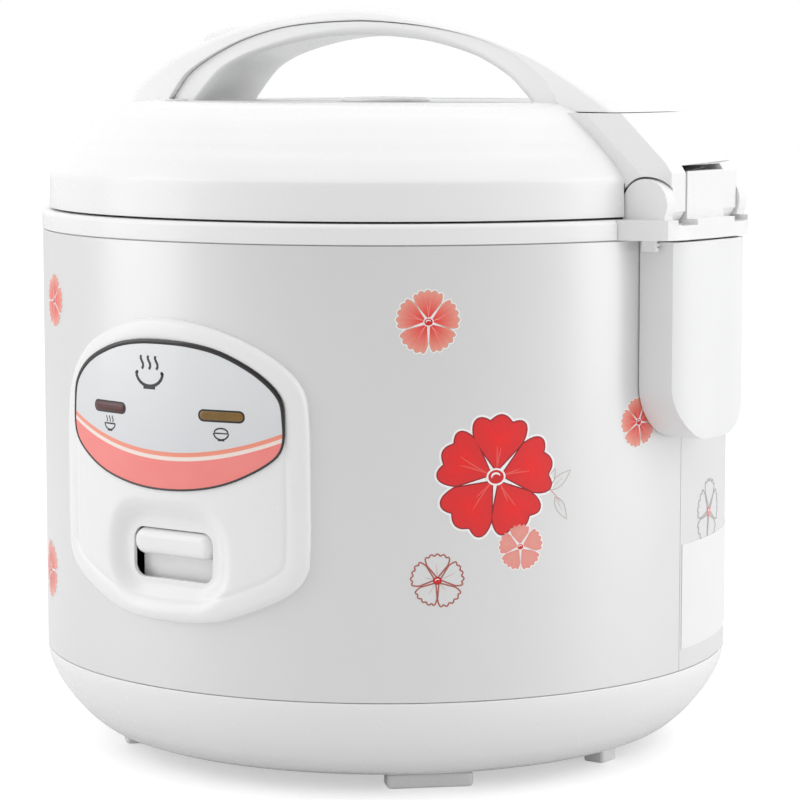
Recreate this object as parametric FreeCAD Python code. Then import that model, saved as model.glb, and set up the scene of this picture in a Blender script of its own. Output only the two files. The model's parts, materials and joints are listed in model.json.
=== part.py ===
import FreeCAD, Part
import os
from math import sin, cos, radians, pi, sqrt, atan2
from FreeCAD import Vector as V

os.makedirs("parts", exist_ok=True)

# Rice cooker, about 4 litres. Millimetres. Origin on the body axis at the
# plane the feet stand on. +Z up, -Y is the front with the control panel,
# +X is the side with the lid hinge and the drip cup, -X is the latch side.

# ---- driving dimensions
R_BODY = 130.0          # outside radius of the sheet-metal shell
T_SHELL = 0.8
Z_BOWL_TOP = 36.7       # joint between plastic base and metal shell
Z_SHELL_TOP = 194.6
Z_RING_BOT = 194.9
Z_RING = 202.0          # deck of the top ring
R_RING = 130.3
Z_LID = 202.7           # lower rim of the lid
R_LID = 127.5
Z_TOP = 242.2           # flat of the dome
PIVOT_X, PIVOT_Z = 132.0, 207.2   # hinge pin axis, along Y
R_EAR = 9.0
R_PIN = 1.95
POT_R = 105.0
POT_T = 1.6
POT_BOT = 62.0
POT_RIM = 197.6
CUP_W = 24.8            # half width of the drip cup
CUP_TOP, CUP_BOT = 194.2, 123.7
PANEL_R = 133.2
KEY_TRAVEL = 7.0


def P(*pts):
    return [V(*p) for p in pts]


def rev(rz, a=360.0):
    w = Part.makePolygon([V(r, 0, z) for r, z in rz] + [V(rz[0][0], 0, rz[0][1])])
    return Part.Face(w).revolve(V(0, 0, 0), V(0, 0, 1), a)


def revw(edges):
    return Part.Face(Part.Wire(edges)).revolve(V(0, 0, 0), V(0, 0, 1), 360)


def spline(pts):
    b = Part.BSplineCurve()
    b.interpolate([V(*p) for p in pts])
    return b.toShape()


def line(a, b):
    return Part.LineSegment(V(*a), V(*b)).toShape()


def cyl(r, h, p=(0, 0, 0), d=(0, 0, 1)):
    return Part.makeCylinder(r, h, V(*p), V(*d))


def box(x0, x1, y0, y1, z0, z1):
    return Part.makeBox(x1 - x0, y1 - y0, z1 - z0, V(x0, y0, z0))


def tube(r0, r1, z0, z1):
    return rev([(r0, z0), (r1, z0), (r1, z1), (r0, z1)])


def xz(pts, y0, y1):
    w = Part.makePolygon([V(x, y0, z) for x, z in pts] + [V(pts[0][0], y0, pts[0][1])])
    return Part.Face(w).extrude(V(0, y1 - y0, 0))


def xy(pts, z0, z1):
    w = Part.makePolygon([V(x, y, z0) for x, y in pts] + [V(pts[0][0], pts[0][1], z0)])
    return Part.Face(w).extrude(V(0, 0, z1 - z0))


def ycyl(r, hw, x=PIVOT_X, z=PIVOT_Z, y0=None):
    a = -hw if y0 is None else y0
    return cyl(r, (hw - a), (x, a, z), (0, 1, 0))


def rot(s, phi):
    s = s.copy()
    s.rotate(V(0, 0, 0), V(0, 0, 1), phi)
    return s


def fuse(*s):
    r = s[0].fuse(list(s[1:])) if len(s) > 1 else s[0]
    return r.removeSplitter()


def rounded(s, r, sel=None):
    ed = [e for e in s.Edges if sel is None or sel(e)]
    try:
        f = s.makeFillet(r, ed)
        return f if f.isValid() and f.Volume > 0 else s
    except Exception:
        return s


def torus(R, r, p, d):
    return Part.makeTorus(R, r, V(*p), V(*d))


PARTS = {}


def put(name, shape):
    if isinstance(shape, (list, tuple)):
        shape = Part.makeCompound(list(shape))
    PARTS[name] = shape


# ---- lid outside profile (radius, height)
LID = [(R_LID, Z_LID), (127.2, 214.2), (126.9, 215.9), (126.1, 217.2), (123.8, 220.2),
       (121.2, 223.3), (118.1, 226.3), (115.4, 229.1), (112.0, 232.2), (109.0, 234.9),
       (104.8, 238.0), (98.0, 241.0), (90.0, Z_TOP)]


def lid_body(off, z_low, r_rec, z_rec):
    """Solid of revolution under the lid surface, moved inwards by off."""
    up = [(r - off if r > 100 else r - off * 0.35, z - (0 if z < 216 else off * min(1.0, (z - 216) / 16.0)))
          for r, z in LID]
    up[0] = (LID[0][0] - off, z_low)
    e = [line((0, 0, z_low), (up[0][0], 0, z_low)),
         line((up[0][0], 0, z_low), (up[1][0], 0, up[1][1])),
         spline([(r, 0, z) for r, z in up[1:]])]
    last = up[-1]
    if r_rec:
        e += [line((last[0], 0, last[1]), (r_rec, 0, last[1])),
              line((r_rec, 0, last[1]), (r_rec, 0, z_rec)),
              line((r_rec, 0, z_rec), (0, 0, z_rec))]
        top = z_rec
    else:
        e += [line((last[0], 0, last[1]), (0, 0, last[1]))]
        top = last[1]
    e += [line((0, 0, top), (0, 0, z_low))]
    return revw(e)


lid_full = lid_body(0.0, Z_LID, None, None)
lid_outer = lid_body(0.0, Z_LID, 84.6, 240.8)
lid_inner = lid_body(2.4, Z_LID - 1.0, None, None)
# recess step under the top plate needs its own wall below the recess floor
lid_inner = lid_inner.cut(cyl(86.8, 20, (0, 0, 238.4)))

# clearance for the fixed hinge ears and the middle knuckle
ear_clear = ycyl(10.9, 29.0)
knuckle_clear = ycyl(14.6, 13.5)

# ---- base bowl
bowl_out = [(98, 5.2), (104, 5.7), (108, 6.9), (111.4, 8.6), (116.7, 13.0), (120.5, 17.2),
            (123.9, 21.6), (126.9, 26.6), (128.7, 30.7), (129.7, 33.9), (130, 36.7)]
bowl_in = [(127.3, 36.7), (126.2, 32.6), (124.2, 27.6), (121.6, 23.2), (118.4, 18.8), (114.8, 14.9),
           (110.2, 11.0), (106.4, 9.0), (98, 8.0)]
e = [line((86, 0, 5.2), (98, 0, 5.2)), spline([(r, 0, z) for r, z in bowl_out]),
     line((130, 0, 36.7), (128.8, 0, 36.7)), line((128.8, 0, 36.7), (128.8, 0, 45)),
     line((128.8, 0, 45), (126.3, 0, 45)), line((126.3, 0, 45), (126.3, 0, 36.0)),
     spline([(126.3, 0, 36.0)] + [(r, 0, z) for r, z in bowl_in[1:]]),
     line((98, 0, 8.0), (86, 0, 8.0)), line((86, 0, 8.0), (86, 0, 5.2))]
bowl = revw(e)
INLET_PHI = 155.0       # azimuth of the power inlet, from the front towards the hinge side


def at_phi(s, phi):
    """Turn a shape built on -Y to azimuth phi (0 = front, 90 = +X)."""
    return rot(s, phi)


inlet_env = at_phi(box(-17.2, 17.2, -125.2, -99.8, 1.9, 27.2), INLET_PHI)
bowl = bowl.cut(inlet_env)
screw_phi = [22.5, 112.5, 202.5, 292.5]
for a in screw_phi:
    bowl = bowl.cut(at_phi(cyl(1.6, 4, (0, -90, 4.8)), a))
    bowl = bowl.cut(at_phi(cyl(3.4, 1.6, (0, -90, 5.0)), a))
put("base_bowl", bowl)

# ---- bottom cover with vent slots
cover = cyl(94.5, 2.0, (0, 0, 8.1))
for k in range(12):
    for r in (42, 62):
        cover = cover.cut(rot(fuse(box(r - 7, r + 7, -1.5, 1.5, 7, 11), cyl(1.5, 4, (r - 7, 0, 7)), cyl(1.5, 4, (r + 7, 0, 7))), 30 * k + (15 if r == 62 else 0)))
for a in screw_phi:
    cover = cover.cut(at_phi(cyl(1.25, 4, (0, -90, 7.5)), a))
put("bottom_cover", cover)
scr = []
for a in screw_phi:
    s = fuse(cyl(3.1, 1.2, (0, -90, 5.3)), cyl(1.2, 6.5, (0, -90, 5.3)))
    s = s.cut(box(-2.2, 2.2, -90.3, -89.7, 5.2, 5.9)).cut(box(-0.3, 0.3, -92.2, -87.8, 5.2, 5.9))
    scr.append(at_phi(s, a))
put("base_screws", scr)

# ---- feet
pads = []
for a in (45, 135, 225, 315):
    b = box(-15.5, 15.5, -102, -91.5, 0, 5.2)
    b = rounded(b, 2.0, lambda e: abs(e.tangentAt(e.FirstParameter).z) > 0.9)
    pads.append(at_phi(b, a))
inlet_low = inlet_env
pads = [p.cut(inlet_low) for p in pads]
put("foot_pads", [p.cut(bowl) for p in pads])
nub = rounded(box(-5, 5, -102, -93.5, 0, 5.2), 1.5, lambda e: abs(e.tangentAt(e.FirstParameter).z) > 0.9)
put("support_foot", at_phi(nub, 90).cut(bowl))

# ---- outer shell
shell = tube(R_BODY - T_SHELL, R_BODY, 36.9, Z_SHELL_TOP)
shell = shell.cut(box(-34, 34, -140, -100, 128, 142))
put("outer_shell", shell)

# ---- top ring
e = [(107.2, 193.5), (120.0, 193.5), (120.0, 199.8), (126.9, 199.8), (126.9, 186.0), (128.8, 186.0),
     (128.8, Z_RING_BOT), (R_RING, Z_RING_BOT), (R_RING, 200.6), (129.9, 201.5), (129.0, Z_RING),
     (118.0, Z_RING), (118.0, 196.0), (107.2, 196.0)]
ring = rev(e)
ring = ring.cut(box(95, 150, -35.6, 35.6, 194.8, 205).cut(cyl(120.05, 20, (0, 0, 190))))
ring = ring.cut(box(-128.9, -119.2, -8, 8, 185, 204))
put("top_ring", ring)

# ---- hinge base: the ledge behind the ring with two ears and a knuckle
plan = [(110, -35.3), (125.4, -35.3), (131.0, -34.2), (137.6, -31.4), (141.6, -28.4), (143.6, -24.0),
        (144.6, -12), (145.0, 0), (144.6, 12), (143.6, 24.0), (141.6, 28.4), (137.6, 31.4),
        (131.0, 34.2), (125.4, 35.3), (110, 35.3)]
ledge = xy(plan, Z_RING_BOT, Z_RING).cut(cyl(120.3, 20, (0, 0, 190)))
ears = []
for s in (-1, 1):
    y0, y1 = (22.7, 28.2) if s > 0 else (-28.2, -22.7)
    ears.append(fuse(cyl(R_EAR, 5.5, (PIVOT_X, y0, PIVOT_Z), (0, 1, 0)),
                     box(PIVOT_X - R_EAR, PIVOT_X + 8.0, y0, y1, Z_RING - 0.5, PIVOT_Z)))
knuckle = fuse(ycyl(R_EAR, 12.8), box(123, 140, -12.8, 12.8, Z_RING - 0.5, PIVOT_Z),
               box(PIVOT_X, 140, -12.8, 12.8, Z_RING - 0.5, 218.6)).common(ycyl(14.0, 13)).common(box(119, 140, -13, 13, 190, 225))
hb = fuse(ledge, ears[0], ears[1], knuckle)
for s in (-1, 1):
    y0, y1 = (13.0, 22.6) if s > 0 else (-22.6, -13.0)
    hb = hb.cut(cyl(8.4, y1 - y0, (PIVOT_X, y0, PIVOT_Z), (0, 1, 0)))
    y0, y1 = (13.0, 24.4) if s > 0 else (-24.4, -13.0)
    hb = hb.cut(box(140.2, 147, y0, y1, 200.3, 204)).cut(box(135.5, 147, y0, y1, 200.3, 202.0)).cut(box(138.0, 147, (13.0 if s > 0 else -22.6), (22.6 if s > 0 else -13.0), 200.0, 204))
# coil spring chamber in the knuckle, open towards the lid
hb = hb.cut(ycyl(6.2, 7.5)).cut(box(118, 132, -7.5, 7.5, 203.4, 212.6))
hb = hb.cut(ycyl(R_PIN, 27.0))
# slide rails for the drip cup
for s in (-1, 1):
    a, b, c = 25.4, 27.0, 28.4
    if s > 0:
        rail = fuse(box(131, 136.5, b, c, 190.9, 195.2), box(131, 136.5, a, c, 190.9, 192.3))
    else:
        rail = fuse(box(131, 136.5, -c, -b, 190.9, 195.2), box(131, 136.5, -c, -a, 190.9, 192.3))
    hb = hb.fuse(rail.cut(cyl(R_BODY + 0.3, 20, (0, 0, 180))))
put("hinge_base", hb.removeSplitter())
# the ring gives way where the moving lobes swing
put("hinge_pin", ycyl(R_PIN, 26.8))
rings = [torus(4.2, 0.9, (PIVOT_X, y, PIVOT_Z), (0, 1, 0)) for y in (-6.0, -4.0, -2.0, 0.0, 2.0, 4.0, 6.0)]
put("hinge_spring", rings)

# ---- latch strike under the deck, on the far side from the hinge
put("latch_catch", fuse(box(-121.3, -119.2, -6.5, 6.5, 197.9, 198.9), box(-120.9, -119.2, -6.5, 6.5, 198.0, 201.6)))

# ---- heating chamber
liner = fuse(tube(108.0, 108.8, 42, 193.3), tube(108.0, 116.5, 192.5, 193.3), tube(30, 108.8, 42, 42.8))
for a in (-20, 20):
    liner = liner.cut(at_phi(cyl(5.0, 6, (0, 62, 40)), a))
put("inner_liner", liner)

plate_e = [line((20, 0, 54), (20, 0, 61.9)), line((20, 0, 61.9), (80, 0, 61.9)),
           Part.Arc(V(80, 0, 61.9), V(83.2, 0, 60.4), V(84.5, 0, 57.0)).toShape(),
           line((84.5, 0, 57.0), (84.5, 0, 53.0)), line((84.5, 0, 53.0), (78, 0, 53.0)),
           line((78, 0, 53.0), (70, 0, 55.5)), line((70, 0, 55.5), (54, 0, 55.5)), line((54, 0, 55.5), (50, 0, 54)),
           line((50, 0, 54), (20, 0, 54))]
put("heating_plate", revw(plate_e))
el = Part.Face(Part.Wire(Part.makeCircle(4.0, V(0, 62, 50.6), V(1, 0, 0)))).revolve(V(0, 0, 0), V(0, 0, 1), 320)
el.rotate(V(0, 0, 0), V(0, 0, 1), 20)
elt = [at_phi(cyl(2.2, 14, (0, 62, 33.5)), a) for a in (-20, 20)]
put("heater_element", fuse(el, elt[0], elt[1]))
put("plate_supports", [at_phi(cyl(3.5, 10.0, (0, -81.0, 42.9)), a) for a in (0, 120, 240)])
put("sensor_holder", cyl(36, 1.2, (0, 0, 42.9)).cut(cyl(3.2, 4, (0, 0, 42))))

# ---- magnetic thermostat
cupp = [(0, 60.9), (15.4, 60.9), (16.4, 59.9), (16.4, 50), (17.4, 50), (17.4, 60.3), (15.9, 61.85), (0, 61.85)]
put("thermostat_cup", rev(cupp))
put("sensor_ferrite", cyl(9.5, 2.7, (0, 0, 58.1)))
put("sensor_spring", [torus(13.3, 0.8, (0, 0, z), (0, 0, 1)) for z in (45.1, 48.1, 51.1, 54.1, 57.1, 59.9)])
put("magnet_rod", fuse(cyl(2.8, 12.8, (0, 0, 33.0)), cyl(9.5, 4.4, (0, 0, 45.6))))

# ---- switch lever under the chamber
PY, PZ = -55.0, 30.5
lev = fuse(box(-4, 4, -121.5, 4.5, 31.2, 32.7), cyl(3.2, 10, (-5, PY, PZ), (1, 0, 0)))
lev = lev.cut(cyl(1.55, 12, (-6, PY, PZ), (1, 0, 0)))
put("magnet_lever", lev)
br = fuse(box(-7.2, -6.0, PY - 6, PY + 6, 26.5, 41.9), box(6.0, 7.2, PY - 6, PY + 6, 26.5, 41.9),
          box(-7.2, 7.2, PY - 6, PY + 6, 40.7, 41.9))
br = br.cut(cyl(1.5, 18, (-9, PY, PZ), (1, 0, 0)))
put("lever_bracket", br)
put("lever_pin", cyl(1.48, 16.4, (-8.2, PY, PZ), (1, 0, 0)))
put("micro_switch", fuse(box(8.5, 15.0, -102, -82, 30.5, 41.8), box(9.5, 14, -99, -95, 28.8, 30.6)))

# ---- control panel that wraps the front of the shell
OUT = [(-2.1, 168.1), (-9.1, 165.4), (-16.9, 158.0), (-21.9, 147.6), (-24.2, 135.2), (-24.5, 117), (-24.5, 91.2),
       (-24.0, 81.0), (-21.3, 74.1), (-16.0, 68.1), (-9.0, 62.7), (0.0, 61.2), (9.0, 62.7), (16.0, 68.1),
       (21.3, 74.1), (24.0, 81.0), (24.6, 91.2), (24.6, 115), (24.4, 135.4), (23.3, 146.4), (19.2, 155.4),
       (12.9, 162.5), (5.5, 167.0)]


def panel_prism(pts, rr, y1=-90.0):
    q = [V(rr * sin(radians(a)), -150, z) for a, z in pts]
    b = Part.BSplineCurve()
    b.interpolate(q, PeriodicFlag=True)
    return Part.Face(Part.Wire(b.toShape())).extrude(V(0, y1 + 150, 0))


def pill(hw, z0, z1, y0, y1, r=None):
    s = box(-hw, hw, y0, y1, z0, z1)
    r = r or (z1 - z0) / 2 - 0.05
    return rounded(s, r, lambda e: abs(e.tangentAt(e.FirstParameter).y) > 0.9)


outl = panel_prism(OUT, PANEL_R)
bezel = tube(R_BODY + 0.1, PANEL_R, 55, 175).common(outl)
KZ0, KZ1 = 75.5, 93.4
pocket = pill(28.5, 66.5, 107.5, -131.5, -124.6, 12)
bezel = fuse(bezel, pocket)
PARTS["outer_shell"] = PARTS["outer_shell"].cut(pill(28.8, 66.2, 107.8, -140, -100, 12.2))


def frustum(hw0, z00, z01, y0, hw1, z10, z11, y1, r0, r1):
    def w(hw, a, b, y, r):
        e = []
        pts = [(-hw + r, a), (hw - r, a), (hw, a + r), (hw, b - r), (hw - r, b), (-hw + r, b), (-hw, b - r), (-hw, a + r)]
        k = r * (1 - sqrt(0.5))
        mids = {1: (hw - k, a + k), 3: (hw - k, b - k), 5: (-hw + k, b - k), 7: (-hw + k, a + k)}
        for i in range(8):
            p, q = pts[i], pts[(i + 1) % 8]
            if i in mids:
                m = mids[i]
                e.append(Part.Arc(V(p[0], y, p[1]), V(m[0], y, m[1]), V(q[0], y, q[1])).toShape())
            else:
                e.append(line((p[0], y, p[1]), (q[0], y, q[1])))
        return Part.Wire(e)
    return Part.makeLoft([w(hw0, z00, z01, y0, r0), w(hw1, z10, z11, y1, r1)], True, True)


bezel = bezel.cut(frustum(30.0, 67.5, 105.5, -134.6, 20.5, 73.2, 96.2, -127.2, 16, 9))
bezel = bezel.cut(pill(18.0, KZ0, KZ1, -140, -120, 4.5))
# lamp windows in the bezel
bezel = bezel.cut(box(-33, -17, -140, -100, 133.4, 137.6)).cut(box(17, 33, -140, -100, 133.4, 137.6))
put("control_panel", bezel)

LABEL = [(-0.4, 161.0), (-5.7, 160.3), (-10.8, 157.7), (-16.7, 151.8), (-20.3, 143.8), (-21.0, 134.0), (-20.6, 125.0),
         (-18.2, 119.0), (-12.9, 112.8), (-6.0, 109.0), (0.6, 108.0), (7.3, 109.3), (12.9, 112.8), (18.3, 119.2),
         (20.6, 125.0), (21.0, 134.0), (20.4, 143.0), (16.9, 151.0), (11.2, 157.6), (5.6, 160.4)]
lab = panel_prism(LABEL, PANEL_R)
lab_in = panel_prism([(a * 0.945, 134.5 + (z - 134.5) * 0.945) for a, z in LABEL], PANEL_R)
put("display_trim", tube(PANEL_R + 0.02, PANEL_R + 0.7, 100, 170).common(lab).cut(lab_in))
plate = tube(PANEL_R + 0.02, PANEL_R + 0.4, 100, 170).common(lab_in)
lens_l = tube(PANEL_R - 1.6, PANEL_R + 0.6, 134.0, 137.0).common(box(-32.5, -17.5, -140, -100, 130, 140))
lens_r = tube(PANEL_R - 1.6, PANEL_R + 0.6, 134.0, 137.0).common(box(17.5, 32.5, -140, -100, 130, 140))
plate = plate.cut(box(-32.6, -17.4, -140, -100, 133.9, 137.1)).cut(box(17.4, 32.6, -140, -100, 133.9, 137.1))
put("panel_label", plate)
put("cook_lens", lens_l)
put("warm_lens", lens_r)
lamp = [fuse(cyl(2.0, 12, (s * 25, -127.0 + 0.0, 135.5), (0, 1, 0)), box(s * 25 - 3, s * 25 + 3, -121, -112.5, 132, 139)) for s in (-1, 1)]
put("indicator_lamps", lamp)

# ---- cook key: slides straight down, its stem pushes the lever
key = pill(17.7, 83.5, 93.0, -128.6, -119.2, 4.4)
key = rounded(key, 3.2, lambda e: all(abs(v.Point.y + 128.6) < 0.01 for v in e.Vertexes))
stem = fuse(box(-4, 4, -119.4, -117.8, 33.0, 91.5))
apron = box(-17.2, 17.2, -122.6, -121.2, 64.0, 86.0)
put("switch_key", fuse(key, stem, apron))

# ---- power inlet
inl = at_phi(box(-17, 17, -125, -100, 2.1, 27), INLET_PHI)
inl = inl.cut(at_phi(pill(12.3, 6.3, 22.8, -126, -109, 3.0), INLET_PHI))
pins = []
pin_boxes = []
for x, z in ((-7, 12.5), (7, 12.5), (0, 17.0)):
    pin_boxes.append(at_phi(box(x - 1.0, x + 1.0, -121.5, -96.5, z - 2, z + 2), INLET_PHI))
for b in pin_boxes:
    inl = inl.cut(b)
put("inlet_housing", inl)
put("inlet_pins", pin_boxes)
put("terminal_block", at_phi(fuse(box(-14, 14, -86, -74, 30, 38), box(-10, -6, -83, -77, 38, 41.8), box(6, 10, -83, -77, 38, 41.8)), 150))
put("thermal_fuse", at_phi(fuse(cyl(2.4, 24, (-12, -70, 38.4), (1, 0, 0)), cyl(3.0, 5, (-2.5, -70, 38.4), (1, 0, 0))), 250))

# ---- inner pot
z0, zr = POT_BOT, POT_RIM
R, t = POT_R, POT_T
po = [line((0, 0, z0), (R - 20, 0, z0)),
      Part.Arc(V(R - 20, 0, z0), V(R - 20 + 20 * sin(pi / 4), 0, z0 + 20 - 20 * cos(pi / 4)), V(R, 0, z0 + 20)).toShape(),
      line((R, 0, z0 + 20), (R, 0, zr - 1.2)), line((R, 0, zr - 1.2), (R + 9, 0, zr - 1.2)),
      line((R + 9, 0, zr - 1.2), (R + 9, 0, zr)), line((R + 9, 0, zr), (R - t, 0, zr)),
      line((R - t, 0, zr), (R - t, 0, z0 + 20)),
      Part.Arc(V(R - t, 0, z0 + 20), V(R - 20 + (20 - t) * sin(pi / 4), 0, z0 + 20 - (20 - t) * cos(pi / 4)), V(R - 20, 0, z0 + t)).toShape(),
      line((R - 20, 0, z0 + t), (0, 0, z0 + t)), line((0, 0, z0 + t), (0, 0, z0))]
put("inner_pot", revw(po))

# ---- rating label, blank film on the shell behind the hinge side
rl = tube(R_BODY + 0.03, R_BODY + 0.25, 44.7, 83.2)
wedge = xy([(0, 0)] + [(160 * sin(radians(a)), -160 * cos(radians(a))) for a in (91.4, 100, 110, 121.0)], 40, 90)
put("rating_label", rl.common(wedge))

# ---- lid
cov = lid_outer.cut(lid_inner)
cov = cov.cut(ear_clear).cut(knuckle_clear)
cov = cov.cut(box(-114, -80, -6.5, 6.5, 225, 246).common(lid_full))
cov = cov.cut(cyl(15.6, 30, (0, 0, 225)))
seat = tube(15.7, 17.4, 226.0, 240.6).fuse(tube(7.2, 17.4, 226.0, 227.6)).removeSplitter()
cov = cov.fuse(seat.common(cyl(17.4, 15.0, (0, 0, 225.5)))).removeSplitter()
put("lid_cover", cov)

tp = tube(17.8, 84.2, 240.85, 241.7)
put("top_plate", tp)
vc = rev([(0, 238.6), (12.6, 238.6), (12.6, 229.2), (14.8, 229.2), (14.8, 241.8), (16.9, 241.8), (16.9, 242.6), (15.6, 243.3), (0, 243.7)])
for a in range(6):
    vc = vc.cut(rot(fuse(box(7.5, 10.5, -1.2, 1.2, 238, 245)), 60 * a))
for a in range(4):
    vc = vc.cut(rot(box(10, 16, -3, 3, 229, 233), 90 * a))
put("vent_cap", vc)
put("steam_tube", tube(4.5, 7.0, 205.5, 227.2).cut(tube(6.9, 8, 200, 206)))

lin = fuse(tube(107.0, 124.7, 203.2, 205.4), tube(122.5, 124.7, 203.2, 211.0), tube(107.0, 109.2, 203.2, 208.0),
           tube(7.1, 109.2, 206.2, 208.0))
for s in (-1, 1):
    y0 = 6.6 if s > 0 else -8.6
    lin = lin.fuse(box(-115.2, -108.8, y0, y0 + 2.0, 205, 226.0).common(lid_inner))
lin = lin.cut(box(-126.4, -113.0, -6.5, 6.5, 200, 214)).cut(ycyl(11.1, 30)).cut(ycyl(14.7, 13.6))
LPX, LPZ = -112.0, 222.0
lin = lin.cut(cyl(1.25, 24, (LPX, -12, LPZ), (0, 1, 0)))
for a in (60, 120, 240, 300):
    lin = lin.cut(rot(cyl(1.6, 8, (95, 0, 203)), a))
put("lid_liner", lin.removeSplitter())
ls = []
for a in (60, 120, 240, 300):
    s = fuse(cyl(2.9, 1.2, (95, 0, 204.9)), cyl(1.4, 9.0, (95, 0, 205.5)))
    s = s.cut(box(92.8, 97.2, -0.3, 0.3, 204.8, 205.4))
    ls.append(rot(s, a))
put("lid_screws", ls)
pl = tube(4.4, 103.2, 201.6, 202.6)
for k in range(8):
    pl = pl.cut(rot(cyl(2.6, 4, (26, 0, 200)), 45 * k))
put("inner_lid_plate", pl)
put("lid_seal", rev([(103.3, 200.4), (105.8, 200.4), (108.4, 198.0), (112.0, 198.0), (112.2, 198.9), (106.8, 203.0), (106.8, 206.0), (103.3, 206.0)]))
put("plate_plug", fuse(tube(2.2, 4.3, 197.6, 205.4), tube(2.2, 9.0, 198.6, 201.5), tube(2.2, 8.0, 202.7, 205.4)))

# ---- carrying handle, an arch along X, with an upper cover and a lower core
HO = [(-113.5, 238.5), (-110.0, 246.5), (-95.0, 256.9), (-80.0, 263.7), (-65.7, 268.9), (-51.0, 272.7), (-36.7, 275.1),
      (-22.0, 276.8), (-8.0, 277.4), (8.0, 276.3), (24.0, 273.8), (40.0, 270.5), (56.0, 266.5), (72.0, 261.2),
      (88.0, 254.9), (104.0, 246.9), (119.0, 238.7)]
HI = [(77.5, 242.0), (72.3, 246.8), (65.8, 251.8), (52.5, 258.1), (39.0, 261.9), (25.7, 264.4), (8.6, 266.0), (-6.0, 266.3),
      (-20.0, 265.6), (-34.6, 263.4), (-49.3, 260.0), (-58.0, 256.9), (-64.0, 253.6), (-71.0, 247.3), (-76.0, 242.0)]
HS = [(-91.5, 238.0), (-85.0, 247.8), (-79.0, 253.7), (-66.0, 260.9), (-50.6, 266.6), (-31.5, 270.4), (-4.0, 271.9), (18.0, 270.9),
      (38.0, 268.5), (57.6, 264.3), (72.0, 259.0), (86.0, 249.5), (94.0, 238.0)]


def arch(outer, inner, zb, y):
    a, b = outer[0], outer[-1]
    c, d = inner[0], inner[-1]
    e = [line((a[0], -y, zb), (a[0], -y, a[1])), spline([(x, -y, z) for x, z in outer]),
         line((b[0], -y, b[1]), (b[0], -y, zb)), line((b[0], -y, zb), (c[0], -y, zb)),
         line((c[0], -y, zb), (c[0], -y, c[1])), spline([(x, -y, z) for x, z in inner]),
         line((d[0], -y, d[1]), (d[0], -y, zb)), line((d[0], -y, zb), (a[0], -y, zb))]
    return Part.Face(Part.Wire(e)).extrude(V(0, 2 * y, 0))


def moved(pts, d):
    out = []
    for i, (x, z) in enumerate(pts):
        x0, z0_ = pts[max(0, i - 1)]
        x1, z1_ = pts[min(len(pts) - 1, i + 1)]
        L = sqrt((x1 - x0) ** 2 + (z1_ - z0_) ** 2)
        out.append((x + d * (z1_ - z0_) / L, z - d * (x1 - x0) / L))
    return out


HW = [(-125, 22.5), (-108, 22.0), (-90, 20.6), (-65, 18.2), (-35, 16.4), (0, 15.8), (35, 16.6), (65, 18.6), (90, 21.2), (112, 24.0), (125, 26.0)]


def plan_form(hw, dy, z0, z1):
    top = [(x, w - dy) for x, w in hw]
    e = [spline([(x, w, z0) for x, w in top]), line((top[-1][0], top[-1][1], z0), (top[-1][0], -top[-1][1], z0)),
         spline([(x, -w, z0) for x, w in top[::-1]]), line((top[0][0], -top[0][1], z0), (top[0][0], top[0][1], z0))]
    return Part.Face(Part.Wire(e)).extrude(V(0, 0, z1 - z0))


hand = arch(HO, HI, 228.0, 40).common(plan_form(HW, 0.0, 220, 290)).cut(lid_full)
hand = hand.common(Part.makeBox(300, 100, 100, V(-150, -50, 228))).cut(box(95, 160, -50, 50, 220, 238.9))
void = arch(moved(HO, 2.6), moved(HI, 2.6), 226.0, 40).common(plan_form(HW, 2.6, 220, 290)).cut(lid_full)
void = void.cut(box(95, 160, -50, 50, 220, 241.0))
hand = hand.cut(void)
se = [spline([(x, -60, z) for x, z in HS]), line((HS[-1][0], -60, HS[-1][1]), (HS[-1][0], -60, 215)),
      line((HS[-1][0], -60, 215), (HS[0][0], -60, 215)), line((HS[0][0], -60, 215), (HS[0][0], -60, HS[0][1]))]
low = Part.Face(Part.Wire(se)).extrude(V(0, 120, 0))
core = hand.common(low)
hcov = hand.cut(low)

# release button set in the outer face of the latch-side leg
D = (0.3487, -0.9372)
TL, TR = (-83.0, 265.0), (-62.5, 270.2)


def along(p, d, side=0.0):
    return (p[0] + D[0] * d + side * 0.9372, p[1] + D[1] * d + side * 0.3487)


bpoly = [TL, (-81.4, 267.0), (-76.0, 268.7), (-69.0, 270.2), TR, along(TR, 6.2), along(TL, 6.2)]
btn = xz(bpoly, -8.2, 8.2)
btn = rounded(btn, 1.4, lambda e: abs(e.tangentAt(e.FirstParameter).y) < 0.2 and False)
bstem = xz([along((-79.9, 261.0), 0), along((-76.0, 262.4), 0), along((-76.0, 262.4), 6.4), along((-79.9, 261.0), 6.4)], -3, 3)
btn = fuse(btn, bstem)
hole = xz([along(TL, -6, -0.35), along(TR, -6, 0.35), along(TR, 11, 0.35), along(TL, 11, -0.35)], -8.6, 8.6)
hcov = hcov.cut(hole.cut(low))
put("handle_cover", hcov)
put("handle_core", core.cut(hole.common(Part.makeBox(60, 40, 60, V(-100, -20, 252)))) if False else core)
put("release_button", btn)

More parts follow.
